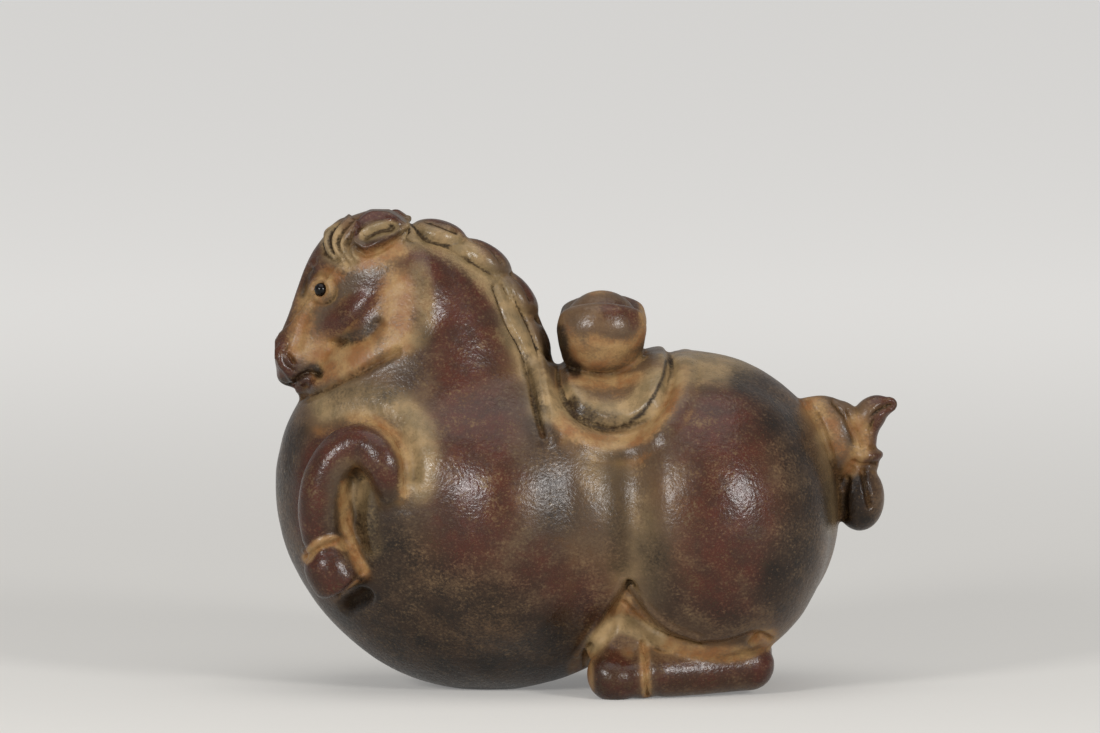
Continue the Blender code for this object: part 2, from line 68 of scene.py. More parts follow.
MM = 0.001
SIDES = (-1, 1)
EYE_NODES = ("eye_left", "eye_right")
FAR = 200.0  # farther out than any part of the horse
BOX_MARGIN = 2e-6  # in metres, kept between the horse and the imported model's box
LOOK_DOWN = 0.087  # drop in the side view of a point that stands 1 mm nearer, seen from 5 degrees above

# Trunk: centres and radii, and the belly's upper radius
BELLY_CENTRE = (-17.0, 0.0, 37.0)
BELLY_RADII = (38.7, 27.0, 38.6)
BELLY_CROWN = 21.5
SHOULDER_CENTRE = (-14.4, 9.0, 30.5)
SHOULDER_RADII = (20.6, 20.4, 25.5)
BARREL_CENTRE = (4.0, 0.0, 30.5)
BARREL_RADII = (22.0, 26.4, 26.5)
RUMP_CENTRE = (17.5, 0.0, 32.0)
RUMP_RADII = (28.4, 25.0, 28.0)
HAUNCH_CENTRE = (20.8, 8.0, 30.0)
HAUNCH_RADII = (23.2, 22.2, 26.8)

# Neck: height, front edge, back edge, half width
NECK = (
    (30.0, -52.0, -4.0, 25.0), (42.0, -54.4, -4.0, 22.5), (48.0, -52.8, -4.5, 20.0),
    (54.0, -49.2, -5.8, 17.8), (60.0, -46.0, -8.4, 15.6), (66.0, -43.5, -11.4, 13.4),
    (72.0, -41.0, -15.5, 11.4), (77.0, -38.0, -21.0, 9.2), (80.0, -35.0, -26.5, 5.5),
)

# Head: distance from the muzzle, brow side, throat side, half width
MUZZLE = (-53.0, 55.9)
POLL = (-34.2, 82.3)
HEAD = (
    (-1.0, 1.6, -4.0, 2.4), (0.6, 3.6, -5.6, 3.7), (3.6, 4.8, -7.6, 4.6), (8.5, 6.0, -9.8, 5.4),
    (13.5, 7.6, -12.4, 7.0), (18.8, 8.8, -14.6, 8.8), (24.5, 8.8, -15.6, 9.8),
    (28.5, 7.6, -13.8, 9.0), (32.0, 5.0, -9.6, 6.6), (34.2, 2.0, -4.6, 3.4),
)
NOSE_TAPER = 0.30
NOSTRIL_CENTRE = (-53.4, 2.7, 58.3)
NOSTRIL_RADII = (2.0, 1.7, 2.5)
UPPER_LIP_CENTRE = (-52.2, 0.0, 55.4)
UPPER_LIP_RADII = (3.0, 3.6, 2.2)
CHIN_CENTRE = (-49.0, 0.0, 53.0)
CHIN_RADII = (2.6, 3.0, 2.2)
EYE_PLACE = (-47.1, 71.1)
SOCKET_RADIUS = 1.3
BEAD_FIT = 0.995  # share of the model's bead, so that the finer one stays in its box
LID_RINGS = ((1.7, 0.6, 0.28), (2.6, 0.9, -0.25))  # radius, half width and height
EAR_CENTRE = (-36.1, 7.4, 81.0)
EAR_RADII = (4.9, 1.9, 3.1)
EAR_PITCH = 18.0
EAR_LEAN = 24.0

# Forelegs: side-view place, radius, and how far the axis stands out of the chest
FORELEG = (
    (-34.8, 34.4, 1.6, -1.8), (-35.0, 38.8, 3.2, -0.3), (-36.0, 41.8, 3.9, 0.8),
    (-37.6, 43.9, 4.1, 1.3), (-40.2, 44.7, 4.1, 1.6), (-42.9, 43.5, 4.1, 1.8),
    (-45.1, 40.6, 4.2, 2.0), (-46.5, 36.8, 4.2, 2.3), (-47.0, 32.2, 4.1, 2.6),
    (-46.8, 28.4, 3.8, 2.8),
)
FORE_HOOF = (
    (-46.7, 25.6, 3.6), (-45.8, 23.6, 4.7), (-43.8, 20.0, 4.8), (-43.2, 18.9, 4.4), (-43.0, 18.5, 3.4),
)
FORE_HOOF_LIFT = 3.4

# Hind legs: place of the axis and radius
HIND_LEG = (
    (10.0, 18.8, 3.8, 4.7), (11.4, 18.4, 3.2, 3.8), (13.6, 17.6, 3.5, 4.3),
    (19.0, 15.8, 3.6, 4.2), (25.0, 13.4, 3.9, 4.2), (29.2, 11.4, 4.3, 4.6),
)
HIND_HOOF_CENTRE = (5.3, 19.0, 3.6)
HIND_HOOF_RADII = (5.0, 5.0, 5.1)
FLANK_CENTRE = (6.5, 14.6, 8.8)
FLANK_RADII = (6.6, 5.6, 6.0)

# Saddle: a pad with a rim and an undercut at its edge, and a ridge round it
SADDLE_CENTRE = (5.2, 57.3)
PAD_RADIUS = 9.4
PAD_SLOPE = 0.7
PAD_SHARE_OVER_BACK = 0.45
RIM_WIDTH = 3.2
RIM_HEIGHT = 0.25
UNDERCUT_WIDTH = 1.0
UNDERCUT_DEPTH = 0.8
RIDGE_RADIUS = 12.8
RIDGE_WIDTH = 2.5

# Ingot: a boat-shaped block that lies across the back
INGOT_CENTRE = (3.0, 0.0, 54.6)
INGOT_FOOT = (5.9, 8.6)
INGOT_BRIM = (7.8, 12.9)
INGOT_SQUARENESS = 2.4
INGOT_FLARE = 1.6
INGOT_SCOOP_RADIUS = 9.0
INGOT_SCOOP_DEPTH = 3.0
INGOT_DOME_RADII = (7.2, 6.6, 7.4)
INGOT_DOME_RISE = 2.4
INGOT_CORNER_DROP = 1.2

# Rolls that round each end of the ingot: how far out, height, half length, radius and sag
INGOT_END = (
    (10.6, -2.2, 5.6, 2.6, 0.7), (10.7, -4.2, 5.5, 3.1, 0.4),
    (10.1, -6.6, 5.1, 3.3, 0.2), (9.1, -9.2, 4.5, 3.3, 0.0),
)
INGOT_END_LIFT = 0.6
INGOT_END_SWEEP = 2.1
INGOT_END_TAPER = 0.14

# Mane: locks down the crest, as place, radii and pitch
LOCKS = (
    ((-26.2, 0.0, 80.5), (5.2, 4.6, 2.7), -14.0), ((-18.1, 0.0, 76.1), (5.5, 5.0, 2.7), -32.0),
    ((-12.3, 0.0, 69.6), (5.3, 5.4, 2.7), -50.0), ((-9.2, 0.0, 61.9), (4.8, 5.8, 2.5), -62.0),
)

# Roll under the locks that brings them out of the neck: places and radii
CREST = (
    (-31.0, 0.0, 78.4, 3.9), (-26.8, 0.0, 77.8, 4.3), (-20.2, 0.0, 73.8, 4.7),
    (-14.9, 0.0, 67.8, 5.0), (-11.8, 0.0, 61.2, 5.0), (-9.8, 0.0, 55.6, 4.6),
)

# Tail: places and radii
DOCK = (
    (37.6, 0.0, 48.0, 2.8), (42.8, 0.0, 48.5, 3.0), (46.2, 0.0, 46.2, 3.1),
    (48.4, 0.0, 43.0, 3.0), (49.8, 0.0, 39.6, 2.9),
)
TAIL_ROOT_CENTRE = (43.8, 0.0, 43.4)
TAIL_ROOT_RADII = (6.0, 4.2, 7.6)
TAIL_ROOT_PITCH = -24.0
TUFT = (
    (50.0, 0.0, 41.6, 2.1), (50.0, 0.0, 45.0, 2.5), (50.7, 0.0, 47.7, 3.0),
    (52.4, 0.0, 49.3, 2.6), (54.4, 0.0, 50.0, 1.5),
)
TAIL_BULB_CENTRE = (49.0, 0.0, 33.4)
TAIL_BULB_RADII = (4.6, 4.8, 6.1)
TAIL_BAND_CENTRE = (50.0, 0.0, 41.0)
TAIL_BAND_RADIUS = 2.5
TAIL_BAND_THICKNESS = 0.95

# Jaw, seen from the side: the line of its edge, the places that close it over the head, and where it ends
JAW_LINE = (
    (-50.3, 51.5), (-44.0, 55.1), (-40.5, 56.9), (-36.0, 59.6), (-32.4, 61.4), (-28.8, 64.1),
    (-26.2, 67.7), (-25.6, 72.2), (-27.1, 76.3), (-29.7, 79.3),
)
JAW = (*JAW_LINE, (-40.0, 80.0), (-56.0, 60.0))
JAW_HEIGHT = 1.0
JAW_EDGE = 2.2
JAW_BACK = -24.0
JAW_FOOT = 50.0

# Cheek, seen from the side: middle, half length and half width, pitch and height
CHEEK = ((-40.8, 66.8), (6.6, 3.8), 42.0, 1.5)

# Broad marks seen from the side: path, half width, and height, where less than 0 is a groove
FORM_MARKS = (
    # Waist between belly and rump
    (((6.0, 50.0), (6.8, 40.0), (7.2, 30.0), (7.2, 20.0), (7.0, 10.0)), 8.0, -1.6),
    # Strand of the mane that runs down into the saddle
    (((-18.6, 76.0), (-14.4, 69.2), (-11.2, 62.6), (-8.6, 56.4), (-7.4, 50.6), (-6.4, 46.6)), 2.6, 1.1),
    # Hollow between foreleg and chest, and the edge round the leg
    (((-40.4, 38.4), (-41.6, 33.0), (-40.6, 27.0)), 3.2, -1.1),
    (((-47.4, 46.6), (-41.0, 50.0), (-35.0, 48.4), (-31.4, 44.0), (-30.7, 39.6)), 2.6, -0.75),
    (((-33.0, 46.6), (-31.4, 43.0), (-31.0, 38.0), (-31.8, 34.4)), 2.4, -0.3),
    # Recess over the hind hoof
    (((7.2, 19.0), (3.6, 12.0), (0.4, 7.0)), 1.8, -1.0),
    (((7.2, 19.0), (11.2, 12.2), (17.0, 9.2), (24.0, 8.6), (30.0, 10.4)), 1.6, -0.9),
)

# Fine marks drawn with a tool, the same way
FINE_MARKS = (
    # Jaw, cheek and brow
    (((-50.3, 51.3), (-44.0, 54.9), (-38.0, 58.2), (-33.4, 60.7)), 1.2, -0.6),
    (((-36.6, 65.4), (-38.8, 62.9), (-41.4, 61.7), (-44.9, 61.6)), 1.6, -0.6),
    (((-45.8, 61.8), (-44.0, 61.6), (-42.7, 62.4)), 0.4, -0.35),
    (((-50.3, 70.0), (-50.1, 72.1), (-49.4, 74.1), (-48.0, 75.7)), 0.8, -0.45),
    (((-48.3, 75.4), (-46.2, 75.9), (-43.1, 75.0)), 1.3, 0.5),
    (((-48.5, 68.8), (-50.1, 64.7), (-51.2, 60.6)), 1.3, -0.3),
    # Nostril, mouth and lips
    (((-53.1, 60.8), (-53.9, 59.3), (-53.4, 57.6), (-51.9, 56.6)), 0.6, -0.45),
    (((-52.8, 59.4), (-52.0, 58.0)), 0.7, -0.8),
    (((-55.1, 54.1), (-53.3, 53.4), (-52.2, 53.9), (-51.2, 55.2), (-49.6, 56.1), (-47.4, 55.9)), 0.8, -0.9),
    (((-50.8, 54.5), (-49.4, 54.8), (-48.0, 54.0)), 0.9, 0.35),
    (((-51.3, 51.9), (-49.4, 52.4), (-47.4, 53.3)), 0.5, -0.3),
    # Forelock strands
    (((-43.1, 83.2), (-45.1, 81.6), (-46.0, 79.7), (-45.6, 77.9), (-44.4, 76.7)), 0.6, 0.85),
    (((-41.9, 83.2), (-43.7, 81.5), (-44.6, 79.6), (-44.2, 77.8), (-43.1, 76.6)), 0.6, 0.85),
    (((-40.7, 82.7), (-42.2, 81.0), (-43.1, 79.3), (-42.8, 77.8), (-41.8, 76.5)), 0.6, 0.85),
    (((-40.4, 80.9), (-41.4, 79.2), (-41.2, 77.6), (-40.4, 76.6)), 0.62, 0.55),
    # Ear: rim, bowl and the fold under it
    (((-40.5, 79.7), (-40.7, 81.6), (-39.7, 83.4), (-37.4, 84.6), (-34.6, 84.3), (-31.9, 82.5)), 0.7, 0.45),
    (((-40.5, 79.7), (-38.9, 78.9), (-36.3, 80.2), (-34.2, 81.4), (-31.9, 82.5)), 0.6, 0.45),
    (((-39.4, 81.0), (-37.4, 82.2), (-34.8, 82.7)), 1.6, -1.5),
    (((-40.4, 78.2), (-39.0, 77.6), (-36.3, 78.6), (-33.7, 80.1), (-31.5, 81.6)), 0.7, -0.7),
    # Curls on the locks of the mane
    (((-28.6, 83.3), (-26.2, 82.6), (-22.8, 81.0)), 0.6, -0.55),
    (((-19.9, 79.6), (-17.0, 78.2), (-14.9, 75.6)), 0.6, -0.55),
    (((-13.2, 73.6), (-11.0, 71.6), (-9.8, 68.9)), 0.6, -0.55),
    (((-8.7, 65.6), (-7.3, 63.6), (-6.3, 60.4)), 0.6, -0.55),
    # Edges of the strand that runs down into the saddle
    (((-16.4, 71.6), (-14.2, 65.4), (-11.9, 61.2), (-10.3, 57.0), (-9.0, 51.5), (-7.6, 46.6)), 0.8, -0.75),
    (((-13.7, 72.4), (-11.9, 67.6), (-9.8, 63.2), (-8.2, 58.4), (-6.9, 53.2), (-6.4, 49.7)), 0.5, -0.3),
    # Foreleg: crack in the hollow, web behind it, and lips of the groove round the leg
    (((-41.6, 38.6), (-42.3, 35.6), (-41.9, 33.2), (-42.5, 30.9), (-41.5, 28.6), (-40.9, 26.4),
      (-39.6, 24.2)), 0.55, -0.4),
    (((-41.1, 37.4), (-41.2, 34.4), (-40.9, 31.8), (-41.2, 29.4), (-40.2, 27.0)), 0.5, 0.25),
    (((-38.4, 37.6), (-38.1, 34.0), (-38.4, 30.0), (-37.9, 26.6)), 1.6, 0.35),
    (((-39.4, 49.5), (-35.4, 47.4), (-32.9, 44.2), (-32.1, 40.0), (-32.0, 36.4)), 0.45, -0.25),
    # Hollow behind the fore hoof
    (((-42.0, 15.4), (-39.4, 17.0)), 2.4, -1.6),
    # Fore hoof: hair line and sole
    (((-50.0, 24.8), (-48.0, 27.0), (-45.8, 28.2), (-42.6, 28.6)), 0.8, 0.4),
    (((-49.8, 23.6), (-47.6, 26.0), (-44.6, 27.2)), 0.5, -0.3),
    (((-39.8, 21.8), (-41.8, 19.6), (-44.0, 17.4)), 0.8, -0.4),
    # Recess over the hind hoof, its lips, and the groove behind the hoof
    (((6.6, 20.6), (4.4, 16.4), (1.4, 11.2), (-1.6, 6.4)), 1.0, 0.4),
    (((8.2, 19.4), (11.4, 15.6), (14.8, 12.6), (20.2, 10.4)), 0.9, 0.4),
    (((7.0, 16.4), (10.4, 12.8), (14.6, 10.6), (20.4, 9.0)), 0.7, -0.5),
    (((10.2, 9.2), (10.8, 5.1), (11.0, 0.0)), 0.8, -0.8),
    (((0.8, 8.4), (-0.2, 5.0), (0.0, 0.0)), 0.7, -0.5),
    (((29.4, 9.0), (31.0, 10.6), (32.8, 9.6)), 0.9, -0.7),
    # Tail: strands from the dock, hollow of the tuft, slots in the knot
    (((39.6, 51.0), (41.7, 47.4), (43.5, 42.9), (44.7, 38.0)), 0.8, -0.4),
    (((44.2, 50.6), (46.7, 47.6), (48.4, 43.4)), 0.7, -0.6),
    (((46.9, 49.0), (48.2, 46.0), (49.5, 42.9)), 0.6, -0.6),
    (((50.7, 45.8), (51.4, 47.8), (52.8, 49.2), (54.6, 50.0)), 1.1, -0.8),
    (((50.5, 43.2), (50.5, 46.0), (51.6, 48.0), (54.0, 49.1)), 0.6, 0.4),
    (((49.6, 38.4), (50.2, 35.4), (50.8, 32.2)), 0.8, -0.8),
    (((46.8, 37.0), (46.2, 33.4), (46.4, 30.0)), 0.8, -0.7),
    (((47.8, 40.0), (49.4, 39.4), (52.0, 39.6)), 0.5, -0.35),
)

# Hollow inside, the vent under it, and the plane the horse rests on
CAVITY = (
    ((-16.5, 0.0, 31.5), (30.0, 20.0, 25.0)), ((-24.0, 0.0, 50.0), (15.0, 11.0, 16.0)),
    ((16.5, 0.0, 31.0), (23.5, 22.0, 22.5)),
)
VENT_PLACE = (15.0, 0.0)
VENT_RADIUS = 4.0
VENT_RUN_OUT = 5.0
FLOOR = -0.8

# Grids that the clay is welded on, and how much each skin is smoothed: in square millimetres, or in rounds
TRUNK_GRAIN = 1.2
TRUNK_SMOOTHING = 52
INGOT_GRAIN = 0.5
INGOT_SMOOTHING = 8
SKIN_SMOOTHING = 0.9
BODY_GRAIN = 0.6
BODY_ROUNDS = 8
CAVITY_GRAIN = 1.4
CAVITY_ROUNDS = 10
CAVITY_TRIANGLES = 3000
TRIANGLES = 188000
ROLL_SIDES = 32

# How much of a normal has to point sideways for a mark to begin there, and for it to be whole
SIDE_FACING = (0.1, 0.4)

# Waves: how many, the spread of their lengths, and what brings their sum to about 1
WAVE_COUNT = 14
WAVE_SPREAD = (0.7, 1.4)
WAVE_SUM = 4.5

# Dents that the hand leaves: share of the depth, size and seed
DENTS = ((1.0, 15.0, 3), (0.4, 6.0, 5), (0.12, 2.4, 7))

# Hollows that are measured on the skin: name, rounds of averaging, and depth that counts as full
HOLLOWS = (("crease", 14, 0.10), ("bay", 90, 0.55))

# Patina, and shade painted into the colour, seen from the side and from 5 degrees above: path, reach and
# strength. A zone is whole up to the core's share of its reach, and gone at the edge's share
ZONE_CORE = 0.2
ZONE_EDGE = 1.6

# Iron red where hands and water rub
RED_ZONES = (
    # Neck and shoulder, rump, barrel
    (((-23.5, 76.0), (-22.6, 66.0), (-21.0, 56.0), (-19.6, 46.0), (-19.0, 36.0), (-20.0, 26.0)), 8.4, 1.0),
    (((-29.0, 76.6), (-24.0, 75.8)), 4.4, 0.7),
    (((24.6, 46.0), (26.4, 34.0), (25.4, 20.0)), 10.0, 1.0),
    (((-9.0, 20.0), (-1.0, 15.0)), 7.0, 0.8),
    # Face and hair
    (((-44.2, 63.5), (-40.8, 66.5), (-37.6, 69.6)), 3.2, 1.1),
    (((-54.4, 59.9), (-53.8, 55.0)), 3.2, 1.1),
    (((-52.0, 53.6), (-48.2, 54.6)), 2.4, 1.0),
    (((-52.4, 64.0), (-50.9, 70.6), (-49.0, 75.8), (-46.7, 79.8)), 1.7, 0.7),
    (((-49.2, 71.9), (-46.9, 74.0), (-44.4, 72.6)), 1.5, 0.9),
    # Purple-red under the ear leaf, painted as the leaf's shadow
    (((-39.8, 77.4), (-36.6, 78.2), (-33.6, 80.0)), 1.2, 1.0),
    (((-40.6, 80.6), (-40.2, 82.4), (-38.4, 83.8), (-34.6, 83.4), (-32.2, 81.4)), 0.9, 1.2),
    (((-27.4, 83.4), (-23.4, 82.0)), 1.2, 0.9),
    (((-17.6, 79.6), (-14.8, 76.6)), 1.3, 0.9),
    (((-11.4, 73.0), (-9.4, 69.4)), 1.3, 0.9),
    (((-6.6, 64.6), (-5.2, 60.6)), 1.6, 0.9),
    # Ingot and tail
    (((4.0, 67.0), (8.4, 66.4), (9.4, 64.4)), 1.8, 0.75),
    (((51.8, 51.2), (54.8, 50.8), (52.4, 46.8), (51.0, 43.0)), 1.7, 0.8),
    (((50.4, 40.2), (53.0, 40.4)), 1.3, 0.8),
    (((49.4, 38.2), (50.2, 32.0)), 1.4, 0.6),
)
# Limbs, rubbed red as well, where the smoke and the painted shade lie thinner
LIMB_ZONES = (
    (((-49.0, 27.4), (-49.2, 34.6), (-47.4, 40.5), (-43.8, 43.4), (-39.6, 43.4), (-37.0, 40.9),
      (-35.6, 38.0)), 3.4, 1.1),
    (((-46.7, 21.4), (-44.4, 18.8)), 4.4, 1.1),
    (((5.4, 3.0), (5.4, 0.0)), 4.6, 1.0),
    (((14.6, 1.6), (22.0, 2.0), (30.8, 3.0)), 3.4, 0.8),
    (((31.2, 2.4), (33.0, 4.6)), 3.2, 1.0),
)
# Slip left by the eye, jaw and ear, round the saddle, and in the grooves of legs and tail
OCHRE_ZONES = (
    (((-44.9, 73.0), (-47.9, 70.2), (-49.7, 68.0), (-50.6, 63.6), (-50.8, 60.2)), 2.4, 0.9),
    (((-47.2, 59.4), (-43.1, 59.4), (-39.6, 60.4)), 3.4, 1.05),
    (((-46.8, 56.0), (-41.0, 57.6)), 2.8, 0.9),
    (((-33.6, 61.4), (-34.0, 65.1), (-33.4, 70.5)), 3.6, 1.0),
    (((-42.3, 75.6), (-37.4, 76.0), (-33.5, 78.0)), 2.2, 0.95),
    (((-9.4, 58.0), (-7.8, 54.3), (-6.2, 48.9)), 1.8, 0.7),
    (((-6.4, 52.0), (-4.8, 47.8), (-1.4, 44.6), (4.2, 43.4), (9.8, 44.8), (14.2, 49.2),
      (17.4, 56.0)), 1.7, 1.0),
    (((-2.0, 54.8), (4.0, 53.8), (9.6, 55.0)), 1.5, 0.85),
    (((-3.4, 62.0), (0.0, 58.8), (8.0, 58.2)), 2.4, 0.7),
    (((1.0, 70.6), (5.0, 71.2)), 1.2, 0.9),
    (((10.6, 66.8), (10.4, 63.0), (7.0, 60.4), (1.0, 61.4)), 1.3, 0.95),
    (((-41.4, 48.1), (-38.4, 47.6), (-35.4, 45.9), (-32.6, 42.0), (-31.7, 37.0), (-32.0, 34.4)), 1.3, 1.1),
    (((-42.6, 35.6), (-42.8, 32.0), (-42.2, 27.4), (-40.8, 23.0), (-39.4, 20.4)), 1.2, 1.15),
    (((-49.6, 22.6), (-47.8, 24.8), (-44.9, 25.8), (-42.8, 24.8)), 1.0, 1.5),
    (((-44.2, 14.6), (-40.6, 18.2)), 0.6, 1.3),
    (((7.2, 14.6), (5.0, 11.0), (1.6, 7.0), (-1.8, 2.6)), 1.7, 1.05),
    (((8.6, 12.6), (13.0, 8.4), (20.0, 5.8), (28.0, 5.6)), 1.6, 0.9),
    (((0.6, 4.0), (0.8, -1.0)), 0.9, 0.8),
    (((10.4, 7.6), (10.6, 3.0), (10.9, -1.4)), 1.0, 1.05),
    (((30.8, 8.2), (33.0, 8.0)), 2.0, 1.05),
    (((40.6, 49.6), (43.0, 46.4), (45.0, 42.4)), 2.4, 0.85),
    (((48.6, 46.4), (49.6, 43.4), (47.4, 38.6)), 2.0, 0.85),
)
# Painted shade, where the light falls off: the clay darker under belly and rump, low on the chest and at its
# front, in the waist, at the rear edge, over and at the foot of the hind legs, under the jaw, under the pad,
# and on and in the tail; and smoke in a patch on the rump's top
SMOKE_AND_SHADE_ZONES = (
    (((-49.0, 20.0), (-38.0, 9.0), (-20.0, 3.0), (-2.0, 3.0)), 13.0, 1.0),
    (((-38.0, 27.0), (-30.0, 17.0), (-14.0, 12.0)), 9.0, 0.85),
    (((-54.0, 44.0), (-53.4, 28.0), (-46.0, 16.0)), 5.4, 0.9),
    (((-7.6, 46.0), (-6.0, 38.0), (-5.0, 30.0)), 4.2, 0.7),
    (((5.4, 44.0), (5.8, 34.0), (6.2, 22.0)), 3.0, 0.7),
    (((34.6, 48.0), (38.0, 41.0), (39.6, 30.0), (34.0, 16.0)), 5.6, 0.9),
    (((28.0, 54.0), (33.6, 51.4)), 3.4, 0.95),
    (((12.0, 24.0), (16.0, 14.0), (27.0, 11.0)), 5.0, 0.6),
    (((-29.0, 62.0), (-33.0, 53.0), (-44.0, 51.6)), 3.0, 0.6),
    (((47.4, 37.0), (49.0, 30.0)), 4.6, 1.0),
    (((14.0, 1.0), (30.0, 2.0)), 3.0, 0.6),
    (((46.0, 45.6), (47.0, 43.6)), 1.3, 0.9),
    (((-1.9, 50.4), (1.4, 48.2), (5.0, 47.6)), 1.4, 0.8),
)
# Shade painted soot-dark into the deepest lines and hollows: the mane's root, behind the fore hoof, the
# mouth, brow, cheek crease and jaw, by the ingot's foot, under the pad's edge and under the ear
PAINTED_SHADE_ZONES = (
    (((-10.6, 58.0), (-8.6, 50.6), (-7.2, 44.4)), 1.5, 0.6),
    (((-42.8, 13.4), (-40.2, 15.4), (-38.4, 16.4)), 2.6, 1.6),
    (((-55.4, 54.0), (-51.8, 54.4), (-48.6, 56.6), (-47.6, 55.6)), 1.1, 1.0),
    (((-50.4, 69.6), (-49.8, 72.0), (-48.4, 74.0)), 0.8, 0.8),
    (((-37.0, 65.0), (-39.4, 62.9), (-43.4, 61.3)), 1.5, 0.85),
    (((-52.0, 51.0), (-44.0, 53.4), (-38.0, 56.4), (-33.0, 59.0)), 1.3, 0.5),
    (((-4.6, 63.0), (-3.8, 58.4), (-1.8, 56.0)), 1.5, 1.2),
    (((-1.8, 56.2), (2.8, 55.2), (8.6, 56.2)), 0.45, 0.6),
    (((-2.9, 50.6), (-0.8, 48.2), (2.1, 46.6), (5.9, 46.0), (10.0, 48.5), (13.4, 54.0),
      (14.4, 57.7)), 0.42, 0.95),
    (((-39.8, 79.0), (-36.4, 79.2), (-33.2, 80.8)), 0.5, 0.7),
)
# Clay that the wash left pale
PALE_ZONES = (
    # Throat and chest, web behind the foreleg, flank, back
    (((-46.0, 50.2), (-39.0, 50.6), (-32.6, 48.8), (-29.2, 42.0), (-29.6, 36.0)), 3.6, 0.85),
    (((-40.4, 35.6), (-39.0, 31.0), (-38.0, 24.6)), 2.4, 0.95),
    (((3.0, 40.0), (9.0, 28.0), (9.4, 17.0)), 5.0, 0.5),
    (((16.0, 56.6), (27.0, 57.0)), 4.4, 0.8),
    # Forelock, ear, root of the mane
    (((-45.2, 80.6), (-44.2, 77.4), (-42.2, 76.0)), 2.4, 1.1),
    (((-39.2, 80.4), (-36.8, 81.2), (-34.4, 81.6)), 1.3, 1.3),
    (((-31.0, 80.4), (-25.0, 79.0), (-18.6, 74.8), (-14.0, 68.6), (-11.4, 61.4), (-8.4, 54.0),
      (-7.0, 49.0)), 2.8, 0.95),
    (((-29.4, 61.4), (-28.0, 68.0), (-29.6, 74.0)), 2.2, 0.6),
    # Pad, recess over the hind hoof, tail
    (((-2.8, 51.0), (0.0, 48.6), (5.0, 47.8), (10.0, 49.6), (12.8, 54.6)), 3.0, 1.1),
    (((1.6, 7.4), (5.6, 10.8), (8.8, 10.2), (12.4, 8.6)), 1.8, 1.4),
    (((41.8, 44.0), (43.4, 36.0), (43.6, 28.0)), 1.8, 0.6),
)

# Unevenness of every coat: strength, size and seed
DRIFT = (0.12, 6.0, 11)

# How the coats follow the form and each other
RED_LOST_IN_BAYS = 0.5
SLIP_IN_CREASES = 0.5
SLIP_IN_BAYS = 0.6
SLIP_SETTLED_MOST = 0.75
SMOKE_ROUND_RED = 0.9
# Shade painted into the creases: its strength, and the hollowness at which it begins
SHADE_IN_CREASES = 1.6
SHADE_CREASE_START = 0.7
# How much of the smoke and painted shade the slip and the limbs take away
SMOKE_AND_SHADE_LOST_TO_SLIP = 0.85
SMOKE_AND_SHADE_LOST_ON_LIMBS = 0.55
DARK_MOST = 1.3
SHEEN_MOST = 0.5
SHEEN_LOST = 0.38
SHEEN_LOST_IN_BAYS = 0.6

# Stage, in metres: half the floor's side, how far the lamps stand off and what they and the camera aim at,
# and the width that the camera takes in
FLOOR_REACH = 6.0
LAMP_REACH = 0.9
LAMP_AIM = (0.0, 0.0, 0.045)
CAMERA_AIM = (-0.0065, 0.0, 0.0576)
VIEW_WIDTH = 0.1965
SENSOR_WIDTH = 36.0  # in millimetres


def linear(colour):
    """A colour written as sRGB hex, as the three linear values that Blender works in."""
    values = (int(colour[i:i + 2], 16) / 255 for i in (0, 2, 4))
    return tuple(v / 12.92 if v <= 0.04045 else ((v + 0.055) / 1.055) ** 2.4 for v in values)


# Lumps, rolls and welding

def smooth_rows(rows, steps):
    """Rows of numbers with Catmull-Rom rows between them."""
    rows = np.array(rows, float)
    ends = np.vstack([2 * rows[0] - rows[1], rows, 2 * rows[-1] - rows[-2]])
    out = []
    for before, start, stop, after in zip(ends, ends[1:], ends[2:], ends[3:]):
        for t in np.arange(steps) / steps:
            out.append(
                0.5 * (2 * start + (stop - before) * t
                       + (2 * before - 5 * start + 4 * stop - after) * t**2
                       + (3 * start - before - 3 * stop + after) * t**3)
            )
    out.append(rows[-1])
    return np.array(out)


def as_object(data, name="clay"):
    made = bpy.data.objects.new(name, data)
    bpy.context.scene.collection.objects.link(made)
    return made


def as_mesh(clay):
    """The clay as a mesh with its faces outwards."""
    bmesh.ops.recalc_face_normals(clay, faces=clay.faces)
    mesh = bpy.data.meshes.new("clay")
    clay.to_mesh(mesh)
    clay.free()
    return mesh


def baked(obj):
    """The object's mesh as its modifiers leave it. The object is removed."""
    bpy.context.view_layer.update()
    mesh = bpy.data.meshes.new_from_object(obj.evaluated_get(bpy.context.evaluated_depsgraph_get()))
    bpy.data.objects.remove(obj)
    return mesh


def ball(centre, radii, pitch=0.0, crown=None, roll=0.0, across=64, up=40):
    """A ball or egg as a mesh. The pitch lifts its +X end, and the crown is its upper radius."""
    turn = Matrix.Rotation(-math.radians(pitch), 4, "Y") @ Matrix.Rotation(math.radians(roll), 4, "X")
    lump = bmesh.new()
    bmesh.ops.create_uvsphere(lump, u_segments=across, v_segments=up, radius=1.0)
    for vert in lump.verts:
        if crown and vert.co.z > 0:
            vert.co.z *= crown / radii[2]
        vert.co = turn @ Vector(a * b for a, b in zip(vert.co, radii)) + Vector(centre)
    return as_mesh(lump)


def add_mesh(clay, mesh):
    clay.from_mesh(mesh)
    bpy.data.meshes.remove(mesh)


def add_ball(clay, *args, **kwargs):
    add_mesh(clay, ball(*args, **kwargs))


def add_loft(clay, rings):
    """A closed skin over rings of points, with a flat cap at each end."""
    rows = [[clay.verts.new(point) for point in ring] for ring in rings]
    count = len(rows[0])
    for low, high in zip(rows, rows[1:]):
        for i in range(count):
            j = (i + 1) % count
            clay.faces.new((low[i], low[j], high[j], high[i]))
    clay.faces.new(reversed(rows[0]))
    clay.faces.new(rows[-1])


def ring_angles(count=64):
    return [2 * math.pi * i / count for i in range(count)]


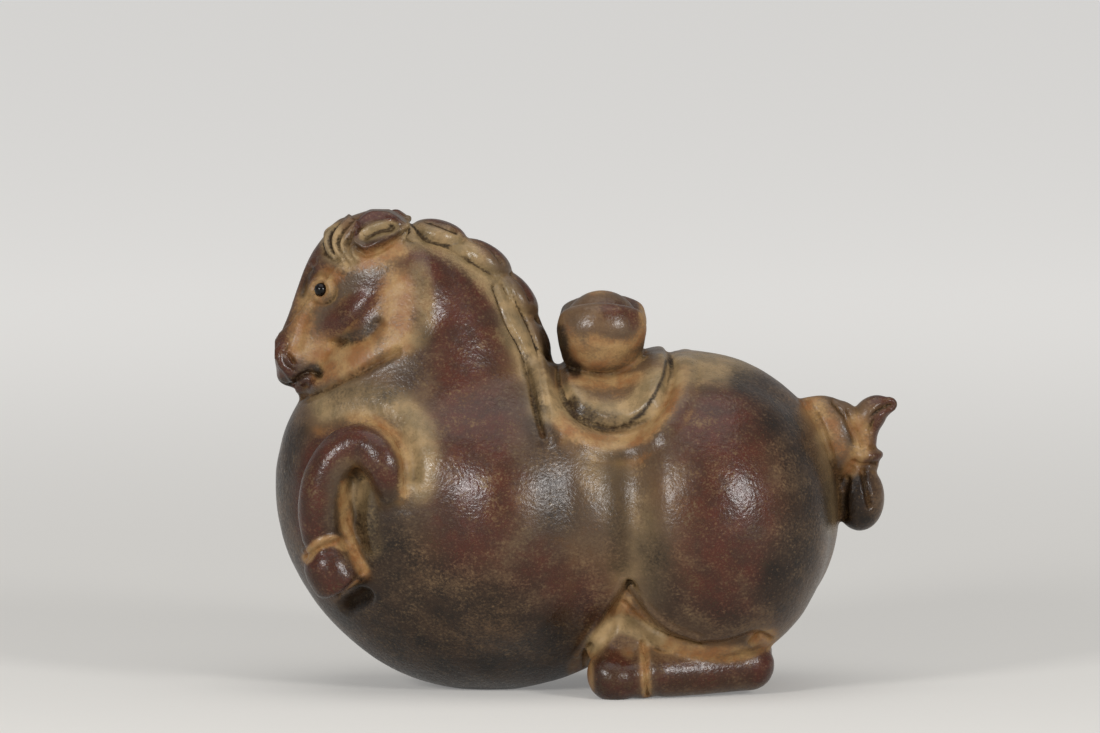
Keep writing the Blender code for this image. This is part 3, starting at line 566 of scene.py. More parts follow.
def roll_tree():
    """Geometry nodes that turn curves into rolls of clay with round ends, as thick as each point's radius."""
    tree = bpy.data.node_groups.get("clay_rolls")
    if tree:
        return tree
    tree = bpy.data.node_groups.new("clay_rolls", "GeometryNodeTree")
    sockets = tree.interface
    sockets.new_socket("Geometry", in_out="INPUT", socket_type="NodeSocketGeometry")
    sockets.new_socket("Sides", in_out="INPUT", socket_type="NodeSocketInt")
    sockets.new_socket("End swell", in_out="INPUT", socket_type="NodeSocketFloat")
    sockets.new_socket("Clay", in_out="INPUT", socket_type="NodeSocketMaterial")
    sockets.new_socket("Geometry", in_out="OUTPUT", socket_type="NodeSocketGeometry")
    given = add_node(tree, "NodeGroupInput")
    radius = add_node(tree, "GeometryNodeInputRadius")
    circle = add_node(tree, "GeometryNodeCurvePrimitiveCircle", {
        "Resolution": given.outputs["Sides"], "Radius": 1.0})
    skin = add_node(tree, "GeometryNodeCurveToMesh", {
        "Curve": given.outputs["Geometry"], "Profile Curve": circle.outputs["Curve"],
        "Scale": radius.outputs[0], "Fill Caps": True})
    ends = add_node(tree, "GeometryNodeCurveEndpointSelection")
    bead = add_node(tree, "GeometryNodeMeshUVSphere", {
        "Segments": given.outputs["Sides"], "Rings": 24, "Radius": 1.0})
    swollen = add_node(tree, "ShaderNodeMath", {
        0: radius.outputs[0], 1: given.outputs["End swell"]}, operation="MULTIPLY")
    placed = add_node(tree, "GeometryNodeInstanceOnPoints", {
        "Points": given.outputs["Geometry"], "Selection": ends.outputs[0],
        "Instance": bead.outputs["Mesh"], "Scale": swollen.outputs[0]})
    real = add_node(tree, "GeometryNodeRealizeInstances", {"Geometry": placed.outputs[0]})
    both = add_node(tree, "GeometryNodeJoinGeometry", {"Geometry": skin.outputs["Mesh"]})
    tree.links.new(real.outputs["Geometry"], both.inputs["Geometry"])
    coated = add_node(tree, "GeometryNodeSetMaterial", {
        "Geometry": both.outputs[0], "Material": given.outputs["Clay"]})
    add_node(tree, "NodeGroupOutput", {"Geometry": coated.outputs[0]})
    return tree


def add_node(tree, kind, inputs=None, **settings):
    """A node with its settings, and its inputs given as values, or as the sockets or nodes that feed them."""
    node = tree.nodes.new(kind)
    for name, value in settings.items():
        setattr(node, name, value)
    for name, value in (inputs or {}).items():
        if isinstance(value, bpy.types.Node):
            value = next(socket for socket in value.outputs if socket.enabled)
        if isinstance(value, bpy.types.NodeSocket):
            tree.links.new(value, node.inputs[name])
        else:
            node.inputs[name].default_value = value
    return node


def add_rolls(clay, *rolls):
    """Rolls of clay along rows of x, y, z and radius, made by the geometry nodes."""
    curve = bpy.data.curves.new("rolls", "CURVE")
    curve.dimensions = "3D"
    for rows in rolls:
        rows = smooth_rows(rows, 8)
        spline = curve.splines.new("POLY")
        spline.points.add(len(rows) - 1)
        for point, row in zip(spline.points, rows):
            point.co = (*row[:3], 1.0)
            point.radius = row[3]
    obj = as_object(curve, "rolls")
    modifier = obj.modifiers.new("rolls", "NODES")
    modifier.node_group = roll_tree()
    sockets = modifier.node_group.interface.items_tree
    named = {socket.name: socket.identifier for socket in sockets if socket.in_out == "INPUT"}
    modifier[named["Sides"]] = ROLL_SIDES
    modifier[named["End swell"]] = 1.0
    add_mesh(clay, baked(obj))
    bpy.data.curves.remove(curve)


def weld(clay, voxel, smoothing):
    """One skin over all the lumps in the clay, smoothed so many times. Returns a mesh."""
    obj = as_object(as_mesh(clay))
    remesh = obj.modifiers.new("weld", "REMESH")
    remesh.mode = "VOXEL"
    remesh.voxel_size = voxel
    smooth = obj.modifiers.new("smooth", "SMOOTH")
    smooth.factor = 0.5
    smooth.iterations = smoothing
    return baked(obj)


def cut(mesh, cutter):
    """The mesh with the cutter's volume taken out of it."""
    tool, obj = as_object(cutter, "cutter"), as_object(mesh)
    boolean = obj.modifiers.new("cut", "BOOLEAN")
    boolean.operation = "DIFFERENCE"
    boolean.solver = "EXACT"
    boolean.object = tool
    result = baked(obj)
    bpy.data.objects.remove(tool)
    return result


def thinned(mesh, triangles):
    """The mesh collapsed to about so many triangles."""
    mesh.calc_loop_triangles()
    obj = as_object(mesh)
    decimate = obj.modifiers.new("thin", "DECIMATE")
    decimate.ratio = triangles / len(mesh.loop_triangles)
    decimate.use_collapse_triangulate = True
    return baked(obj)


def cylinder(start, end, radius, segments=64):
    """A closed cylinder between two places."""
    start, end = Vector(start), Vector(end)
    axis = end - start
    turn = Matrix.Translation((start + end) / 2) @ axis.to_track_quat("Z", "Y").to_matrix().to_4x4()
    lump = bmesh.new()
    bmesh.ops.create_cone(
        lump, cap_ends=True, segments=segments, radius1=radius, radius2=radius, depth=axis.length, matrix=turn
    )
    return as_mesh(lump)


# Measuring

def skin_tree(mesh):
    skin = bmesh.new()
    skin.from_mesh(mesh)
    tree = BVHTree.FromBMesh(skin)
    skin.free()
    return tree


def side_of(tree, x, z):
    """Half width of a skin at a side-view place, or 0 where it has none."""
    hit = tree.ray_cast(Vector((x, -FAR, z)), Vector((0.0, 1.0, 0.0)))[0]
    return -hit.y if hit else 0.0


def read_points(mesh):
    """Points and normals of the mesh's vertices."""
    count = len(mesh.vertices)
    points, normals = np.empty(3 * count, np.float32), np.empty(3 * count, np.float32)
    mesh.vertices.foreach_get("co", points)
    mesh.vertex_normals.foreach_get("vector", normals)
    return points.reshape(-1, 3).astype(float), normals.reshape(-1, 3).astype(float)


def write_points(mesh, points):
    mesh.vertices.foreach_set("co", points.astype(np.float32).ravel())
    mesh.update()


def write_attribute(mesh, name, values):
    made = mesh.attributes.get(name) or mesh.attributes.new(name, "FLOAT", "POINT")
    made.data.foreach_set("value", np.asarray(values, np.float32))


def read_attribute(mesh, name):
    values = np.empty(len(mesh.vertices), np.float32)
    mesh.attributes[name].data.foreach_get("value", values)
    return values.astype(float)


def falloff(share):
    """A bell that is 1 at 0 and 0 from 1 on."""
    return np.clip(1 - share**2, 0, 1) ** 2


def step(value, low, high):
    t = np.clip((value - low) / (high - low), 0, 1)
    return t * t * (3 - 2 * t)


def path_reach(x, z, path, most=None):
    """Distance in the side view of each point from a path. Past the most it counts as endless."""
    best = np.full(len(x), np.inf)
    places = np.array(path)
    near = slice(None)
    if most:
        low, high = places.min(0) - most, places.max(0) + most
        near = np.nonzero((x > low[0]) & (x < high[0]) & (z > low[1]) & (z < high[1]))[0]
    px, pz, found = x[near], z[near], best[near]
    for (ax, az), (bx, bz) in zip(path, path[1:]):
        dx, dz = bx - ax, bz - az
        t = np.clip(((px - ax) * dx + (pz - az) * dz) / (dx * dx + dz * dz), 0, 1)
        found = np.minimum(found, np.hypot(px - ax - t * dx, pz - az - t * dz))
    best[near] = found
    return best


def curved(path):
    return [tuple(row) for row in smooth_rows(path, 5)] if len(path) > 2 else path


def inside(x, z, path):
    """Whether each point is inside a closed path, in the side view."""
    odd = np.zeros(len(x), bool)
    for (ax, az), (bx, bz) in zip(path, path[1:] + path[:1]):
        if az != bz:
            odd ^= ((az > z) != (bz > z)) & (x < (bx - ax) * (z - az) / (bz - az) + ax)
    return odd


def marks_height(points, marks):
    height = np.zeros(len(points))
    for path, width, depth in marks:
        height += depth * falloff(path_reach(points[:, 0], points[:, 2], curved(path), width) / width)
    return height


def waves(points, size, seed):
    """Smooth unevenness from -1 to 1, with bumps about so many millimetres across."""
    rng = np.random.default_rng(seed)
    total = np.zeros(len(points))
    for _ in range(WAVE_COUNT):
        way = rng.normal(size=3)
        way *= rng.uniform(*WAVE_SPREAD) * math.pi / size / np.linalg.norm(way)
        total += np.sin(points @ way + rng.uniform(0, 2 * math.pi))
    return total / WAVE_SUM


# The horse's forms

def neck_rings():
    for z, front, back, half_width in smooth_rows(NECK, 4):
        middle, reach = (front + back) / 2, (back - front) / 2
        yield [(middle + reach * math.cos(a), half_width * math.sin(a), z) for a in ring_angles()]


def head_rings():
    muzzle, poll = Vector((MUZZLE[0], 0, MUZZLE[1])), Vector((POLL[0], 0, POLL[1]))
    along = (poll - muzzle).normalized()
    brow_side = Vector((-along.z, 0, along.x))
    for s, brow, throat, half_width in smooth_rows(HEAD, 4):
        middle, reach = (brow + throat) / 2, (brow - throat) / 2
        ring = []
        for a in ring_angles():
            up = math.cos(a)
            side = math.sin(a) * half_width * (1 - NOSE_TAPER * up)
            ring.append(muzzle + along * s + brow_side * (middle + reach * up) + Vector((0, side, 0)))
        yield ring


def trunk(voxel):
    """Belly, barrel, rump, haunches, shoulders and neck, as one skin."""
    clay = bmesh.new()
    add_ball(clay, BELLY_CENTRE, BELLY_RADII, crown=BELLY_CROWN)
    add_ball(clay, BARREL_CENTRE, BARREL_RADII)
    add_ball(clay, RUMP_CENTRE, RUMP_RADII)
    for side in SIDES:
        for centre, radii in ((HAUNCH_CENTRE, HAUNCH_RADII), (SHOULDER_CENTRE, SHOULDER_RADII)):
            add_ball(clay, (centre[0], side * centre[1], centre[2]), radii)
    add_loft(clay, neck_rings())
    return weld(clay, voxel, round(TRUNK_SMOOTHING / voxel**2))


def add_head(clay):
    add_loft(clay, head_rings())
    add_ball(clay, UPPER_LIP_CENTRE, UPPER_LIP_RADII)
    add_ball(clay, CHIN_CENTRE, CHIN_RADII)
    for side in SIDES:
        x, y, z = NOSTRIL_CENTRE
        add_ball(clay, (x, side * y, z), NOSTRIL_RADII)


def add_forelegs(clay, tree):
    for side in SIDES:
        add_rolls(clay, [(x, side * (side_of(tree, x, z) + lift), z, r) for x, z, r, lift in FORELEG])
        top, sole = FORE_HOOF[0], FORE_HOOF[2]
        y = side * (side_of(tree, sole[0], sole[1]) + FORE_HOOF_LIFT)
        along = Vector((sole[0] - top[0], 0, sole[1] - top[1])).normalized()
        across = Vector((-along.z, 0, along.x))
        rings = []
        for x, z, radius in smooth_rows(FORE_HOOF, 3):
            place = Vector((x, y, z))
            rings.append([place + (across * math.cos(a) + Vector((0, math.sin(a), 0))) * float(radius)
                          for a in ring_angles()])
        add_loft(clay, rings)


def add_hind_legs(clay):
    for side in SIDES:
        add_rolls(clay, [(x, side * y, z, radius) for x, y, z, radius in HIND_LEG])
        for (x, y, z), radii in ((HIND_HOOF_CENTRE, HIND_HOOF_RADII), (FLANK_CENTRE, FLANK_RADII)):
            add_ball(clay, (x, side * y, z), radii)


def ingot(voxel, tall):
    """A flared block with a scooped top and a dome in the scoop."""
    cx, cy, cz = INGOT_CENTRE
    block = bmesh.new()
    rings = []
    for t in np.linspace(0, 1, 16):
        half_x = INGOT_FOOT[0] + (INGOT_BRIM[0] - INGOT_FOOT[0]) * math.sin(t * math.pi / 2)
        half_y = INGOT_FOOT[1] + (INGOT_BRIM[1] - INGOT_FOOT[1]) * t**INGOT_FLARE
        ring = []
        for a in ring_angles():
            c, s = math.cos(a), math.sin(a)
            square = (abs(c) ** INGOT_SQUARENESS + abs(s) ** INGOT_SQUARENESS) ** (-1 / INGOT_SQUARENESS)
            drop = INGOT_CORNER_DROP * t * abs(c * square) ** 3
            ring.append((cx + half_x * c * square, cy + half_y * s * square, cz + tall * t - drop))
        rings.append(ring)
    add_loft(block, rings)
    top = cz + tall - INGOT_SCOOP_DEPTH + INGOT_SCOOP_RADIUS
    reach = 2 * INGOT_BRIM[0]
    scoop = cylinder((cx - reach, cy, top), (cx + reach, cy, top), INGOT_SCOOP_RADIUS, segments=96)
    clay = bmesh.new()
    add_mesh(clay, cut(as_mesh(block), scoop))
    add_ball(clay, (cx, cy, cz + tall - INGOT_DOME_RADII[2] + INGOT_DOME_RISE), INGOT_DOME_RADII)
    for side in SIDES:
        for out, down, half, radius, sag in INGOT_END:
            rows = []
            for t in (-1.0, -0.5, 0.0, 0.5, 1.0):
                y = cy + side * (out - INGOT_END_SWEEP * t * t)
                z = cz + tall + down + INGOT_END_LIFT - sag * t * t
                rows.append((cx + half * t, y, z, radius * (1 - INGOT_END_TAPER * t * t)))
            add_rolls(clay, rows)
    return weld(clay, voxel, round(INGOT_SMOOTHING / voxel**2))


def add_tail(clay):
    x, y, z = TAIL_BAND_CENTRE
    band = [(x + TAIL_BAND_RADIUS * math.cos(a), y + TAIL_BAND_RADIUS * math.sin(a), z, TAIL_BAND_THICKNESS)
            for a in ring_angles(16) + [0.0]]
    add_rolls(clay, DOCK, TUFT, band)
    add_ball(clay, TAIL_ROOT_CENTRE, TAIL_ROOT_RADII, pitch=TAIL_ROOT_PITCH)
    add_ball(clay, TAIL_BULB_CENTRE, TAIL_BULB_RADII)


def saddle_reach(points):
    """Distance in the side view of each point from the middle of the saddle."""
    return np.hypot(points[:, 0] - SADDLE_CENTRE[0], points[:, 2] - SADDLE_CENTRE[1])


def pad_height(points, form):
    """How far the saddle pad and its rim stand out, over the back as well."""
    reach = saddle_reach(points)
    height = form.pad_height / MM * (1 - step(reach, PAD_RADIUS - PAD_SLOPE, PAD_RADIUS + PAD_SLOPE))
    height += RIM_HEIGHT * falloff((reach - PAD_RADIUS + 0.7 * RIM_WIDTH) / RIM_WIDTH)
    return height - UNDERCUT_DEPTH * falloff((reach - PAD_RADIUS - 0.6 * UNDERCUT_WIDTH) / UNDERCUT_WIDTH)


def body_height(points, form):
    """How far the ridge, jaw, cheek and the broad marks stand out of the body."""
    x, z = points[:, 0], points[:, 2]
    ridge = form.ridge_height / MM * falloff((saddle_reach(points) - RIDGE_RADIUS) / RIDGE_WIDTH)
    side = np.where(inside(x, z, JAW), 1, -1) * path_reach(x, z, JAW_LINE)
    height = JAW_HEIGHT * step(side, -JAW_EDGE, JAW_EDGE) * (x < JAW_BACK) * (z > JAW_FOOT)
    (cx, cz), (long, short), pitch, rise = CHEEK
    c, s = math.cos(math.radians(pitch)), math.sin(math.radians(pitch))
    along, across = (x - cx) * c + (z - cz) * s, (z - cz) * c - (x - cx) * s
    height += rise * falloff(np.hypot(along / long, across / short))
    return height + ridge + marks_height(points, FORM_MARKS)


def press(mesh, height_of, least=0.0):
    """Moves each point out along its normal by the height there, less on parts that face up or along."""
    points, normals = read_points(mesh)
    height = height_of(points) * (least + (1 - least) * step(np.abs(normals[:, 1]), *SIDE_FACING))
    write_points(mesh, points + normals * height[:, None])
    return mesh


def horse_skin(form, voxel):
    """The whole horse as one skin."""
    base = trunk(TRUNK_GRAIN)
    tree = skin_tree(base)
    clay = bmesh.new()
    add_head(clay)
    add_hind_legs(clay)
    add_forelegs(clay, tree)
    add_mesh(clay, base)
    body = weld(clay, BODY_GRAIN, BODY_ROUNDS)
    press(body, lambda points: body_height(points, form))
    press(body, lambda points: pad_height(points, form), least=PAD_SHARE_OVER_BACK)
    clay = bmesh.new()
    for side in SIDES:
        x, y, z = EAR_CENTRE
        add_ball(clay, (x, side * y, z), EAR_RADII, pitch=EAR_PITCH, roll=side * EAR_LEAN)
    add_rolls(clay, CREST)
    for centre, radii, pitch in LOCKS:
        add_ball(clay, centre, radii, pitch=pitch)
    add_mesh(clay, ingot(INGOT_GRAIN, form.ingot_height / MM))
    add_tail(clay)
    add_mesh(clay, body)
    skin = weld(clay, voxel, round(SKIN_SMOOTHING / voxel**2))
    return press(skin, lambda points: fine_height(points, form))


def fine_height(points, form):
    """Tool marks, the rim pushed up round each bead, and the lip of the saddle."""
    around = np.hypot(points[:, 0] - EYE_PLACE[0], points[:, 2] - EYE_PLACE[1])
    lid = sum(rise * falloff((around - radius) / width) for radius, width, rise in LID_RINGS)
    return (marks_height(points, FINE_MARKS) + lid) * form.mark_depth


def neighbour_mean(values, edges, rounds):
    """Each row averaged so many times with the rows at the other ends of its edges."""
    count = len(values)
    a, b = edges[:, 0], edges[:, 1]
    share = 1 / np.maximum(np.bincount(a, minlength=count) + np.bincount(b, minlength=count), 1)
    for _ in range(rounds):
        mean = np.stack([
            (np.bincount(a, column[b], count) + np.bincount(b, column[a], count)) * share
            for column in values.T
        ], axis=1)
        values = (values + mean) / 2
    return values


def hollowness(mesh, rounds, full):
    """How hollow the skin is at each point: 1 in a crease, 0 on a flat, less than 0 on an edge."""
    points, normals = read_points(mesh)
    edges = np.empty(2 * len(mesh.edges), np.int32)
    mesh.edges.foreach_get("vertices", edges)
    mean = neighbour_mean(points, edges.reshape(-1, 2), rounds)
    return np.clip(((mean - points) * normals).sum(1) / full, -1, 1)


def zone_strength(points, zones):
    """The strongest of the zones at each point, seen from the side on either side."""
    x, z = points[:, 0], points[:, 2] - LOOK_DOWN * np.abs(points[:, 1])
    best = np.zeros(len(points))
    for path, reach, strength in zones:
        near = path_reach(x, z, curved(path), ZONE_EDGE * reach)
        best = np.maximum(best, strength * (1 - step(near, ZONE_CORE * reach, ZONE_EDGE * reach)))
    return best


def hollow_out(mesh):
    """The horse with its hollow, the vent under it and a level foot."""
    clay = bmesh.new()
    for centre, radii in CAVITY:
        add_ball(clay, centre, radii)
    mesh = cut(mesh, thinned(weld(clay, CAVITY_GRAIN, CAVITY_ROUNDS), CAVITY_TRIANGLES))
    x, y = VENT_PLACE
    mesh = cut(mesh, cylinder((x, y, FLOOR - VENT_RUN_OUT), (x, y, CAVITY[2][0][2]), VENT_RADIUS))
    lump = bmesh.new()
    bmesh.ops.create_cube(lump, size=FAR, matrix=Matrix.Translation((0, 0, FLOOR - FAR / 2)))
    return cut(mesh, as_mesh(lump))


def fill_new_points(mesh, source, values, name):
    """Gives each point of the mesh the value of the nearest point of the source."""
    tree = KDTree(len(source))
    for i, point in enumerate(source):
        tree.insert(point, i)
    tree.balance()
    points = read_points(mesh)[0]
    write_attribute(mesh, name, [values[tree.find(point)[1]] for point in points])


def lay_patina_and_shade(mesh):
    """Writes the attributes that place each coat, painted shade among them, from the zones and from how
    hollow the skin is.
    """
    points = read_points(mesh)[0]
    crease, bay = read_attribute(mesh, "crease"), read_attribute(mesh, "bay")
    strength, size, seed = DRIFT
    uneven = strength * waves(points, size, seed)
    limbs = zone_strength(points, LIMB_ZONES).clip(0, 1)
    rubbed = np.maximum(zone_strength(points, RED_ZONES), limbs)
    red = np.clip(rubbed + uneven - RED_LOST_IN_BAYS * bay.clip(0, 1), 0, 1)
    slip = zone_strength(points, OCHRE_ZONES)
    settled = np.clip(SLIP_IN_CREASES * crease + SLIP_IN_BAYS * bay, 0, SLIP_SETTLED_MOST)
    # Smoke in a fringe round the red, and shade painted into the creases
    lines = np.maximum(SMOKE_ROUND_RED * red * (1 - red), SHADE_IN_CREASES * crease - SHADE_CREASE_START)
    # Painted shade low on the body, in the waist and under the jaw and pad, with the smoke
    smoke = np.maximum(zone_strength(points, SMOKE_AND_SHADE_ZONES), lines)
    smoke *= (1 - SMOKE_AND_SHADE_LOST_TO_SLIP * slip.clip(0, 1)) * (1 - SMOKE_AND_SHADE_LOST_ON_LIMBS * limbs)
    # Painted shade in the deepest lines and hollows
    smoke_and_shade = np.maximum(smoke, zone_strength(points, PAINTED_SHADE_ZONES))
    write_attribute(mesh, "red", red)
    write_attribute(mesh, "ochre", np.clip(np.maximum(slip, settled) + uneven, 0, 1))
    write_attribute(mesh, "smoke_and_shade", np.clip(smoke_and_shade + uneven, 0, DARK_MOST))
    write_attribute(mesh, "pale", np.clip(zone_strength(points, PALE_ZONES) + uneven, 0, 1))
    hollow = np.clip(crease + SHEEN_LOST_IN_BAYS * bay, 0, 1)
    write_attribute(mesh, "sheen", SHEEN_MOST - SHEEN_LOST * hollow)


def finish_piece(mesh, name, surface, slot, *nodes):
    """The mesh as a piece that stands for these nodes of the model."""
    mesh.name = name
    mesh.materials.clear()
    mesh.materials.append(surface)
    mesh.shade_smooth()
    piece = as_object(mesh, name)
    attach(piece, "root")
    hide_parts(*nodes)


def eye_centre(node):
    low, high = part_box(node)
    return (low + high) / 2


# Surfaces

def new_surface(name):
    """A material with only its Principled shader and its object coordinates."""
    made = bpy.data.materials.new(name)
    made.use_nodes = True
    tree = made.node_tree
    tree.nodes.clear()
    shader = add_node(tree, "ShaderNodeBsdfPrincipled")
    add_node(tree, "ShaderNodeOutputMaterial", {"Surface": shader})
    place = add_node(tree, "ShaderNodeTexCoord").outputs["Object"]
    return made, tree, shader, place


# Patterns in the clay: width in millimetres, detail, roughness and stretch. Clouds lie 14 mm across,
# blotches 5 mm and less, and specks and grit under half a millimetre
GRAINS = {
    "cloud": (14.0, 2.0, 0.5, (1, 1, 1)),
    "blotch": (4.6, 5.0, 0.68, (0.7, 0.7, 1)),
    "tint": (3.6, 3.0, 0.6, (1, 1, 1)),
    "speck": (0.42, 2.0, 0.65, (0.8, 0.8, 1)),
    "peel": (0.8, 2.0, 0.5, (1, 1, 1)),
    "grit": (0.34, 1.0, 0.5, (1, 1, 1)),
}
SPECK_ROUGHNESS = 0.35
GRIT_SHARE = 0.3

# Change of roughness under a whole coat: waxy where red, powdery where the slip is
COAT_ROUGHNESS = {"red": -0.05, "ochre": 0.14}

# Patterns in the glaze of the beads: widths in millimetres of its brown, its roughness and its ripple
GLAZE_GRAINS = (0.9, 0.3, 0.6)

# Fibre of the stage's paper: width in millimetres, and how bright it is beside the rest
FIBRE_WIDTH = 1.5
FIBRE_SHADE = 0.97

# Coats over the bare clay, in the order they go on: the attribute that places the coat, how much the
# blotches and the specks break it up, where it begins and is whole, its most, and its two colours
COATS = (
    ("red", 2.0, 1.0, -0.05, 1.05, 1.0, "plum", "red_brown"),
    (None, 2.0, 3.6, -0.1, 1.2, 0.6, "umber", "soot"),
    ("ochre", 1.5, 1.3, 0.05, 1.1, 0.95, "ochre", "amber"),
    ("pale", 1.3, 0.8, 0.1, 1.05, 0.88, "tan", "straw"),
    # This coat paints shade over the smoke: low on the body, in the creases and in the deepest lines
    ("smoke_and_shade", 1.2, 0.9, 0.12, 1.15, 0.95, "umber", "soot"),
    (None, -1.2, -3.6, 0.1, 1.3, 0.3, "tan", "straw"),
)


def burnished_stoneware(clay):
    """Stoneware fired brown, washed with iron and ochre slip, and burnished by hand and tea.

    To the eye it is a dull brown, mottled with smoke in level flecks, red and waxy where it is
    rubbed, powdery ochre in the hollows, and its orange-peel skin breaks each highlight into grains.
    Shade is painted into its colour as well: darker low on the body, in the creases and in the deepest lines.
    """
    made, tree, shader, place = new_surface("burnished_stoneware")
    grains = {}
    for name, (across, detail, rough, stretch) in GRAINS.items():
        turned = add_node(tree, "ShaderNodeMapping", {"Vector": place, "Scale": stretch})
        grains[name] = add_node(tree, "ShaderNodeTexNoise", {
            "Vector": turned, "Scale": 1 / (across * MM), "Detail": detail, "Roughness": rough})
    share = add_node(tree, "ShaderNodeMapRange", {
        "Value": grains["cloud"], "From Min": 0.36, "From Max": 0.64})
    body = add_node(tree, "ShaderNodeMix", {
        0: share, 6: (*clay.olive, 1), 7: (*clay.khaki, 1)}, data_type="RGBA")
    shift = add_node(tree, "ShaderNodeMapRange", {
        "Value": grains["tint"], "From Min": 0.38, "From Max": 0.62})
    rough = add_node(tree, "ShaderNodeMath", {
        0: grains["speck"], 1: SPECK_ROUGHNESS, 2: clay.roughness - SPECK_ROUGHNESS / 2,
    }, operation="MULTIPLY_ADD")
    for name, blotch, speck, begin, whole, most, first, second in COATS:
        level = (blotch + speck) / 2
        placed = add_node(tree, "ShaderNodeAttribute", attribute_name=name).outputs["Fac"] if name else 0.0
        broken = add_node(tree, "ShaderNodeMath", {
            0: grains["blotch"], 1: blotch, 2: placed}, operation="MULTIPLY_ADD")
        broken = add_node(tree, "ShaderNodeMath", {
            0: grains["speck"], 1: speck, 2: broken}, operation="MULTIPLY_ADD")
        share = add_node(tree, "ShaderNodeMapRange", {
            "Value": broken, "From Min": begin + level, "From Max": whole + level, "To Max": most,
        }, interpolation_type="SMOOTHSTEP")
        colour = add_node(tree, "ShaderNodeMix", {
            0: shift, 6: (*getattr(clay, first), 1), 7: (*getattr(clay, second), 1)}, data_type="RGBA")
        body = add_node(tree, "ShaderNodeMix", {0: share, 6: body, 7: colour}, data_type="RGBA")
        if name in COAT_ROUGHNESS:
            rough = add_node(tree, "ShaderNodeMath", {
                0: share, 1: COAT_ROUGHNESS[name], 2: rough}, operation="MULTIPLY_ADD")
    tree.links.new(body.outputs[2], shader.inputs["Base Color"])
    tree.links.new(rough.outputs[0], shader.inputs["Roughness"])
    # Orange peel 0.8 mm across, with grit of a third of a millimetre on it
    skin = add_node(tree, "ShaderNodeMath", {
        0: grains["grit"], 1: GRIT_SHARE, 2: grains["peel"]}, operation="MULTIPLY_ADD")
    bump = add_node(tree, "ShaderNodeBump", {"Height": skin, "Distance": clay.peel_depth, "Strength": 1.0})
    tree.links.new(bump.outputs[0], shader.inputs["Normal"])
    # The slip and dust of a hollow shine less
    sheen = add_node(tree, "ShaderNodeAttribute", attribute_name="sheen")
    tree.links.new(sheen.outputs["Fac"], shader.inputs["Specular IOR Level"])
    shader.inputs["IOR"].default_value = 1.37
    return made


def black_glass_bead(clay):
    """Black glaze on a clay bead, melted smooth, so that each lamp shows as a small sharp light."""
    made, tree, shader, place = new_surface("black_glazed_bead")
    grains = [
        add_node(tree, "ShaderNodeTexNoise", {"Vector": place, "Scale": 1 / (across * MM)})
        for across in GLAZE_GRAINS
    ]
    brown = add_node(tree, "ShaderNodeMapRange", {"Value": grains[0], "From Min": 0.45, "From Max": 0.7})
    tint = add_node(tree, "ShaderNodeMix", {
        0: brown, 6: (*clay.bead, 1), 7: (*clay.bead_brown, 1)}, data_type="RGBA")
    tree.links.new(tint.outputs[2], shader.inputs["Base Color"])
    rough = add_node(tree, "ShaderNodeMapRange", {
        "Value": grains[1], "From Min": 0.3, "From Max": 0.7, "To Min": 0.14, "To Max": 0.19})
    tree.links.new(rough.outputs[0], shader.inputs["Roughness"])
    bump = add_node(tree, "ShaderNodeBump", {"Height": grains[2], "Distance": 0.00001, "Strength": 0.6})
    tree.links.new(bump.outputs[0], shader.inputs["Normal"])
    shader.inputs["IOR"].default_value = 1.31
    return made


def is_seen(tree):
    """1 for a ray from the camera, or one that a mirror or glass sends on."""
    path = add_node(tree, "ShaderNodeLightPath")
    both = add_node(tree, "ShaderNodeMath", {
        0: path.outputs["Is Glossy Ray"], 1: path.outputs["Is Transmission Ray"]}, operation="MAXIMUM")
    return add_node(tree, "ShaderNodeMath", {0: path.outputs["Is Camera Ray"], 1: both}, operation="MAXIMUM")


def plain_paper(name, stage):
    """Matt pale paper. What the lamps leave dim of it is filled in for the camera and for mirrors alone."""
    made, tree, shader, place = new_surface(name)
    fibre = add_node(tree, "ShaderNodeTexNoise", {
        "Vector": place, "Scale": 1 / (FIBRE_WIDTH * MM), "Detail": 3.0})
    shaded = (FIBRE_SHADE * value for value in stage.floor)
    tint = add_node(tree, "ShaderNodeMix", {
        0: fibre, 6: (*shaded, 1), 7: (*stage.floor, 1)}, data_type="RGBA")
    tree.links.new(tint.outputs[2], shader.inputs["Base Color"])
    shader.inputs["Roughness"].default_value = 0.9
    shader.inputs["Specular IOR Level"].default_value = 0.2
    away = add_node(tree, "ShaderNodeVectorMath", {0: place}, operation="LENGTH").outputs["Value"]
    filled = add_node(tree, "ShaderNodeMapRange", {
        "Value": away, "From Min": 0.05, "From Max": 0.9,
        "To Min": stage.floor_fill, "To Max": stage.far_fill,
    }, interpolation_type="SMOOTHSTEP")
    glow = add_node(tree, "ShaderNodeMath", {0: is_seen(tree), 1: filled}, operation="MULTIPLY")
    shader.inputs["Emission Color"].default_value = (1.0, 0.99, 0.975, 1)
    tree.links.new(glow.outputs[0], shader.inputs["Emission Strength"])
    return made


# What a user may change

def length_property(name, description, default, **limits):
    return FloatProperty(name=name, description=description, default=default, unit="LENGTH", **limits)


def amount_property(name, description, default, **settings):
    return FloatProperty(name=name, description=description, default=default, min=0.0, **settings)


def colour_property(name, description, value):
    return FloatVectorProperty(name=name, description=description, default=linear(value), subtype="COLOR")


class TeaPetForm(bpy.types.PropertyGroup):
    """Sizes of the horse."""

    ingot_height: length_property("Ingot height", "Height of the ingot over its foot", 13.6 * MM)
    pad_height: length_property("Pad height", "How far the saddle pad stands out", 1.5 * MM)
    ridge_height: length_property("Ridge height", "How far the ridge round the pad stands out", 0.9 * MM)
    mark_depth: amount_property(
        "Mark depth", "Depth of the tool marks, as a share of the real ones", 1.0, max=2.0)
    unevenness: length_property("Unevenness", "Depth of the dents that the hand leaves", 0.16 * MM)
    grain: length_property("Skin grain", "Grid that the skin is welded on", 0.36 * MM, min=0.3 * MM)
    triangles: IntProperty(
        name="Triangles", description="Triangles in the finished horse", default=TRIANGLES, min=20000)


